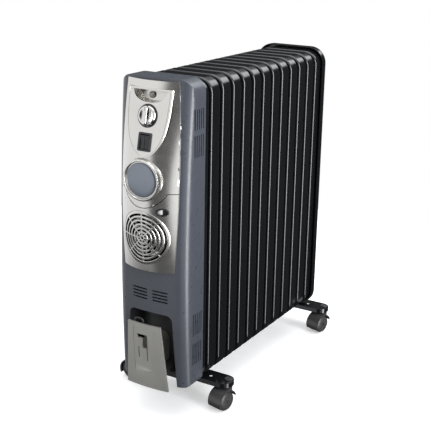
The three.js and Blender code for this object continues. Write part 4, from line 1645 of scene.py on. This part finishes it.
@dataclass
class Castors:
    """Four swivelling twin-wheel castors."""

    bench: Bench
    stem_x: float = 102.0
    front_y: float = 22.0
    rear_y: float = 446.0
    wheel_r: float = 19.5
    wheel_w: float = 12.0
    wheel_z: float = 26.5
    trail: float = 17.0
    offset: float = 8.8
    axle: float = 2.5
    fender_gap: float = 1.4
    fender_wall: float = 2.0
    fender_reach: Flat = (20.0, 205.0)
    fender_steps: int = 28

    def _at_axle(self, turn: float) -> Matrix:
        """From a piece about the Y axis to one about the wheels' axle."""
        move = Matrix.Translation((0, -self.trail * MM, self.wheel_z * MM))
        return move @ Matrix.Rotation(turn, 4, "Z")

    def _wheel(self) -> Piece:
        """One wheel with a rounded tread, a dished face and a bore, axle along X.

        Returns:
            The wheel.
        """
        w, r, bore = self.wheel_w / 2, self.wheel_r, self.axle + 0.3
        wheel = self.bench.turned("castor_wheel", [
            (bore, -w), (5.4, -w), (6.2, -w + 0.9), (r - 6.6, -w + 1.2), (r - 5.8, -w + 0.5),
            (r - 4.0, -w + 1.0), (r - 2.0, -w + 2.4), (r - 0.6, -w + 4.0), (r, -1.0), (r, 1.0),
            (r - 0.6, w - 4.0), (r - 2.0, w - 2.4), (r - 4.0, w - 1.0), (r - 6.4, w), (bore, w),
        ], 64, solid=False)
        self.bench.smooth(wheel, 32)
        wheel.data.transform(Matrix.Rotation(math.pi / 2, 4, "Z"))
        return wheel

    def _arc(self, r: float, start: float, end: float) -> list[Flat]:
        """Points on an arc.

        Args:
            r: its radius.
            start: where it starts, in degrees.
            end: where it ends, in degrees.

        Returns:
            The points.
        """
        steps = self.fender_steps
        turns = [math.radians(start + (end - start) * i / steps) for i in range(steps + 1)]
        return [(r * math.cos(t), r * math.sin(t)) for t in turns]

    def _hood(self) -> Piece:
        """The hood with its fender, middle web and stem, trailing towards -Y.

        Returns:
            The hood.
        """
        bench = self.bench
        inner = self.wheel_r + self.fender_gap
        outer = inner + self.fender_wall
        wide = self.offset + self.wheel_w / 2 + 1
        start, end = self.fender_reach
        line = [*self._arc(outer, start, end), *self._arc(inner, end, start)]
        fender = bench.prism("fender", line, -wide, wide)
        web_line = [*self._arc(outer - 0.5, start, end), (-9, -11), (9, -11)]
        web = bench.prism("web", web_line, -2.2, 2.2)
        for part in (fender, web):
            part.data.transform(self._at_axle(math.pi / 2))
        bench.combine(fender, web, Cut.ADD)
        stem = bench.turned("stem", [
            (0, 36), (7.4, 36), (7.4, 58.4), (6.4, 59.65), (4.4, 59.65), (4.4, 62.35), (7.5, 62.35),
            (7.5, 63.4), (6.6, 64.4), (0, 64.4),
        ], 48)
        stem.data.transform(Matrix.Rotation(math.pi / 2, 4, "X"))
        bench.close(stem)
        bench.combine(fender, stem, Cut.ADD)
        for side in (-1, 1):
            wheel_room = bench.rod("wheel_room", inner, 2.5, 30, 0, 0, 72)
            wheel_room.data.transform(self._at_axle(-side * math.pi / 2))
            bench.combine(fender, wheel_room, Cut.TAKE)
        axle = bench.rod("axle_hole", self.axle + 0.1, -6, 6, 0, 0, 32)
        axle.data.transform(self._at_axle(math.pi / 2))
        bench.combine(fender, axle, Cut.TAKE)
        bench.soften(fender, 0.6, 2, 40)
        return fender

    def build(self) -> None:
        """Models a hood and a wheel once and sets out the four castors."""
        bench = self.bench
        hood, wheel = self._hood(), self._wheel()
        for end, y in zip(ENDS, (self.front_y, self.rear_y)):
            for side, x in zip(SIDES, (-self.stem_x, self.stem_x)):
                name = f"{end}_{side}_castor"
                joint = next(j for j in bench.joints if j["child"] == f"{name}_outer_wheel")
                turn = math.atan2(joint["axis"][1], joint["axis"][0])
                place = Matrix.Translation((x * MM, y * MM, 0)) @ Matrix.Rotation(turn, 4, "Z")
                cover = bench.twin(hood, f"{name}_hood_moulding")
                bench.deliver(cover, CASTOR, name, [f"{name}_hood"], place)
                for which, shift in (("outer", self.offset), ("inner", -self.offset)):
                    node = f"{name}_{which}_wheel"
                    at = Matrix.Translation((shift * MM, -self.trail * MM, self.wheel_z * MM))
                    flip = Matrix.Rotation(math.pi if which == "outer" else 0.0, 4, "Z")
                    tyre = bench.twin(wheel, f"{node}_moulding")
                    bench.deliver(tyre, CASTOR, node, [node], place @ at @ flip)
        bpy.data.objects.remove(hood)
        bpy.data.objects.remove(wheel)


# ---------------------------------------------------------------- what stays as the CAD has it


CARRIED: dict[str, Finish] = {
    "heating_element": ZINC,
    "filler_plug": ZINC,
    "thermostat": ZINC,
    "tip_over_switch": DARK,
    "terminal_block": NATURAL,
    **{f"{end}_{side}_castor_axle": ZINC for end in ENDS for side in SIDES},
}


def dress_carried(nodes: dict[str, Piece]) -> None:
    """Gives the CAD nodes that stay their finishes.

    Args:
        nodes: the frame's nodes by name.
    """
    for name, finish in CARRIED.items():
        node = nodes[name]
        node.data.materials.clear()
        node.data.materials.append(finish.material())
        LOG.info("%s: kept", name)


# ---------------------------------------------------------------- studio


@dataclass
class Studio:
    """The floor, the lights and the camera."""

    datum: Datum
    azimuth: float = 30.977
    elevation: float = 17.469
    roll: float = 0.978
    lens: float = 79.44
    eye: Point = (909.0, -1382.6, 896.8)
    floor_r: float = 1.15
    floor_glow: float = 0.35
    boxes: tuple[tuple[float, ...], ...] = (
        (-132, -9, 7, 1.15), (37, 58, 4, 1.3), (66, 86, 4, 15.0),
    )
    box_heights: Point = (-0.42, 0.5, 0.16)
    behind: tuple[float, ...] = (138, 176, 6)
    behind_heights: Point = (0.36, 0.62, 0.06)
    behind_power: float = 3.0
    sky_heights: Point = (0.5, 2.0, 0.14)
    sky_power: float = 0.9
    base_power: float = 0.03
    tint: tuple[float, ...] = (0.97, 0.985, 1.0, 1)

    def _floor(self) -> None:
        """A pale round floor under the heater."""
        bpy.ops.object.select_all(action="DESELECT")
        bpy.ops.mesh.primitive_circle_add(vertices=96, radius=self.floor_r, fill_type="NGON")
        floor = bpy.context.object
        floor.name = "studio_floor"
        paint = bpy.data.materials.new("studio_floor_paint")
        paint.use_nodes = True
        shader = next(n for n in paint.node_tree.nodes if n.type == "BSDF_PRINCIPLED")
        shader.inputs["Base Color"].default_value = (0.9, 0.9, 0.9, 1)
        shader.inputs["Roughness"].default_value = 0.9
        shader.inputs["Emission Color"].default_value = (1, 1, 1, 1)
        shader.inputs["Emission Strength"].default_value = self.floor_glow
        floor.data.materials.append(paint)
        floor.visible_glossy = False
        floor.visible_diffuse = False

    def _light(self, name: str, at: Point, aim: Point, size: Flat, power: float) -> None:
        """A soft box that faces a point, in metres.

        Args:
            name: its name.
            at: its place.
            aim: the point it faces.
            size: width and height.
            power: power in watts.
        """
        data = bpy.data.lights.new(name, "AREA")
        data.shape = "RECTANGLE"
        data.size, data.size_y = size
        data.energy = power
        lamp = bpy.data.objects.new(name, data)
        bpy.context.scene.collection.objects.link(lamp)
        lamp.location = at
        lamp.rotation_euler = (Vector(aim) - Vector(at)).to_track_quat("-Z", "Y").to_euler()

    def _surround(self) -> None:
        """The studio's walls as a sky: white to the eye, soft boxes and dark gaps in reflections."""
        world = bpy.data.worlds.new("studio")
        bpy.context.scene.world = world
        world.use_nodes = True
        tree = world.node_tree
        tree.nodes.clear()
        way = tree.nodes.new("ShaderNodeTexCoord").outputs["Generated"]
        parts = tree.nodes.new("ShaderNodeSeparateXYZ")
        tree.links.new(way, parts.inputs[0])

        def maths(kind: str, *values: Socket | float) -> Socket:
            """A sum done by a node.

            Args:
                kind: what it does.
                values: sockets or numbers.

            Returns:
                The result.
            """
            node = tree.nodes.new("ShaderNodeMath")
            node.operation = kind
            for slot, value in enumerate(values):
                if isinstance(value, Socket):
                    tree.links.new(value, node.inputs[slot])
                else:
                    node.inputs[slot].default_value = value
            return node.outputs[0]

        def band(value: Socket, low: float, high: float, soft: float) -> Socket:
            """One inside a range, nought outside it.

            Args:
                value: what is tested.
                low: start of the range.
                high: end of the range.
                soft: half the width of its soft edges.

            Returns:
                The result.
            """
            ramps = []
            for edge, sign in ((low, 1), (high, -1)):
                node = tree.nodes.new("ShaderNodeMapRange")
                node.interpolation_type = "SMOOTHSTEP"
                node.inputs["From Min"].default_value = edge - soft
                node.inputs["From Max"].default_value = edge + soft
                node.inputs["To Min"].default_value = 0 if sign > 0 else 1
                node.inputs["To Max"].default_value = 1 if sign > 0 else 0
                tree.links.new(value, node.inputs["Value"])
                ramps.append(node.outputs["Result"])
            return maths("MULTIPLY", *ramps)

        turn = maths("ARCTAN2", parts.outputs["X"], maths("MULTIPLY", parts.outputs["Y"], -1.0))
        degrees = maths("MULTIPLY", turn, 180 / math.pi)
        height = parts.outputs["Z"]
        level = band(height, *self.box_heights)
        boxes = [
            maths("MULTIPLY", maths("MULTIPLY", band(degrees, *reach), level), power)
            for *reach, power in self.boxes
        ]
        behind = maths("MULTIPLY", band(degrees, *self.behind), band(height, *self.behind_heights))
        boxes.append(maths("MULTIPLY", behind, self.behind_power))
        overhead = maths("MULTIPLY", band(height, *self.sky_heights), self.sky_power)
        total = maths("ADD", overhead, self.base_power)
        for box in boxes:
            total = maths("ADD", total, box)
        lit = tree.nodes.new("ShaderNodeBackground")
        tree.links.new(total, lit.inputs["Strength"])
        lit.inputs["Color"].default_value = self.tint
        seen = tree.nodes.new("ShaderNodeBackground")
        seen.inputs["Color"].default_value = (1, 1, 1, 1)
        seen.inputs["Strength"].default_value = 1.0
        rays = tree.nodes.new("ShaderNodeLightPath")
        mix = tree.nodes.new("ShaderNodeMixShader")
        tree.links.new(rays.outputs["Is Camera Ray"], mix.inputs[0])
        tree.links.new(lit.outputs[0], mix.inputs[1])
        tree.links.new(seen.outputs[0], mix.inputs[2])
        out = tree.nodes.new("ShaderNodeOutputWorld")
        tree.links.new(mix.outputs[0], out.inputs["Surface"])

    def _camera(self) -> None:
        """The camera at the heater's three-quarter front view."""
        data = bpy.data.cameras.new("camera")
        data.lens = self.lens
        data.sensor_width = 36.0
        camera = bpy.data.objects.new("camera", data)
        bpy.context.scene.collection.objects.link(camera)
        a, e, r = (math.radians(v) for v in (self.azimuth, self.elevation, self.roll))
        forward = Vector((-math.sin(a) * math.cos(e), math.cos(a) * math.cos(e), -math.sin(e)))
        right = Vector((math.cos(a), math.sin(a), 0))
        up = right.cross(forward)
        axis_x = right * math.cos(r) + up * math.sin(r)
        axis_y = -right * math.sin(r) + up * math.cos(r)
        place = Vector(self.eye) * MM + Vector((self.datum.x, self.datum.y, self.datum.z))
        turn = Matrix((axis_x, axis_y, -forward)).transposed().to_4x4()
        camera.matrix_world = Matrix.Translation(place) @ turn
        bpy.context.scene.camera = camera

    def build(self) -> None:
        """Sets up the studio."""
        self._floor()
        self._surround()
        self._light("overhead", (0.2, 0.1, 2.4), (0, 0, 0), (2.2, 2.2), 30)
        self._camera()
        bpy.context.scene.view_settings.view_transform = "Standard"


def main() -> None:
    """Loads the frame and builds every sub-assembly in order."""
    logging.basicConfig(level=logging.INFO, format="%(name)s %(message)s")
    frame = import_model()
    datum = Datum.read()
    bench = Bench(datum, frame)
    housing = Housing(bench)
    panels = FrontPanels(bench, housing)
    controls = Controls(bench)
    outlet = FanOutlet(bench, panels)
    FinStack(bench).build()
    RearCover(bench).build()
    housing.build()
    panels.build(outlet.opening(), controls)
    controls.build(panels)
    Boss(bench).build()
    outlet.build()
    CordStore(bench).build()
    FootBars(bench).build()
    Castors(bench).build()
    dress_carried(frame["nodes"])
    Studio(datum).build()
    LOG.info("%d pieces", bench.count)


if __name__ == "__main__":
    main()
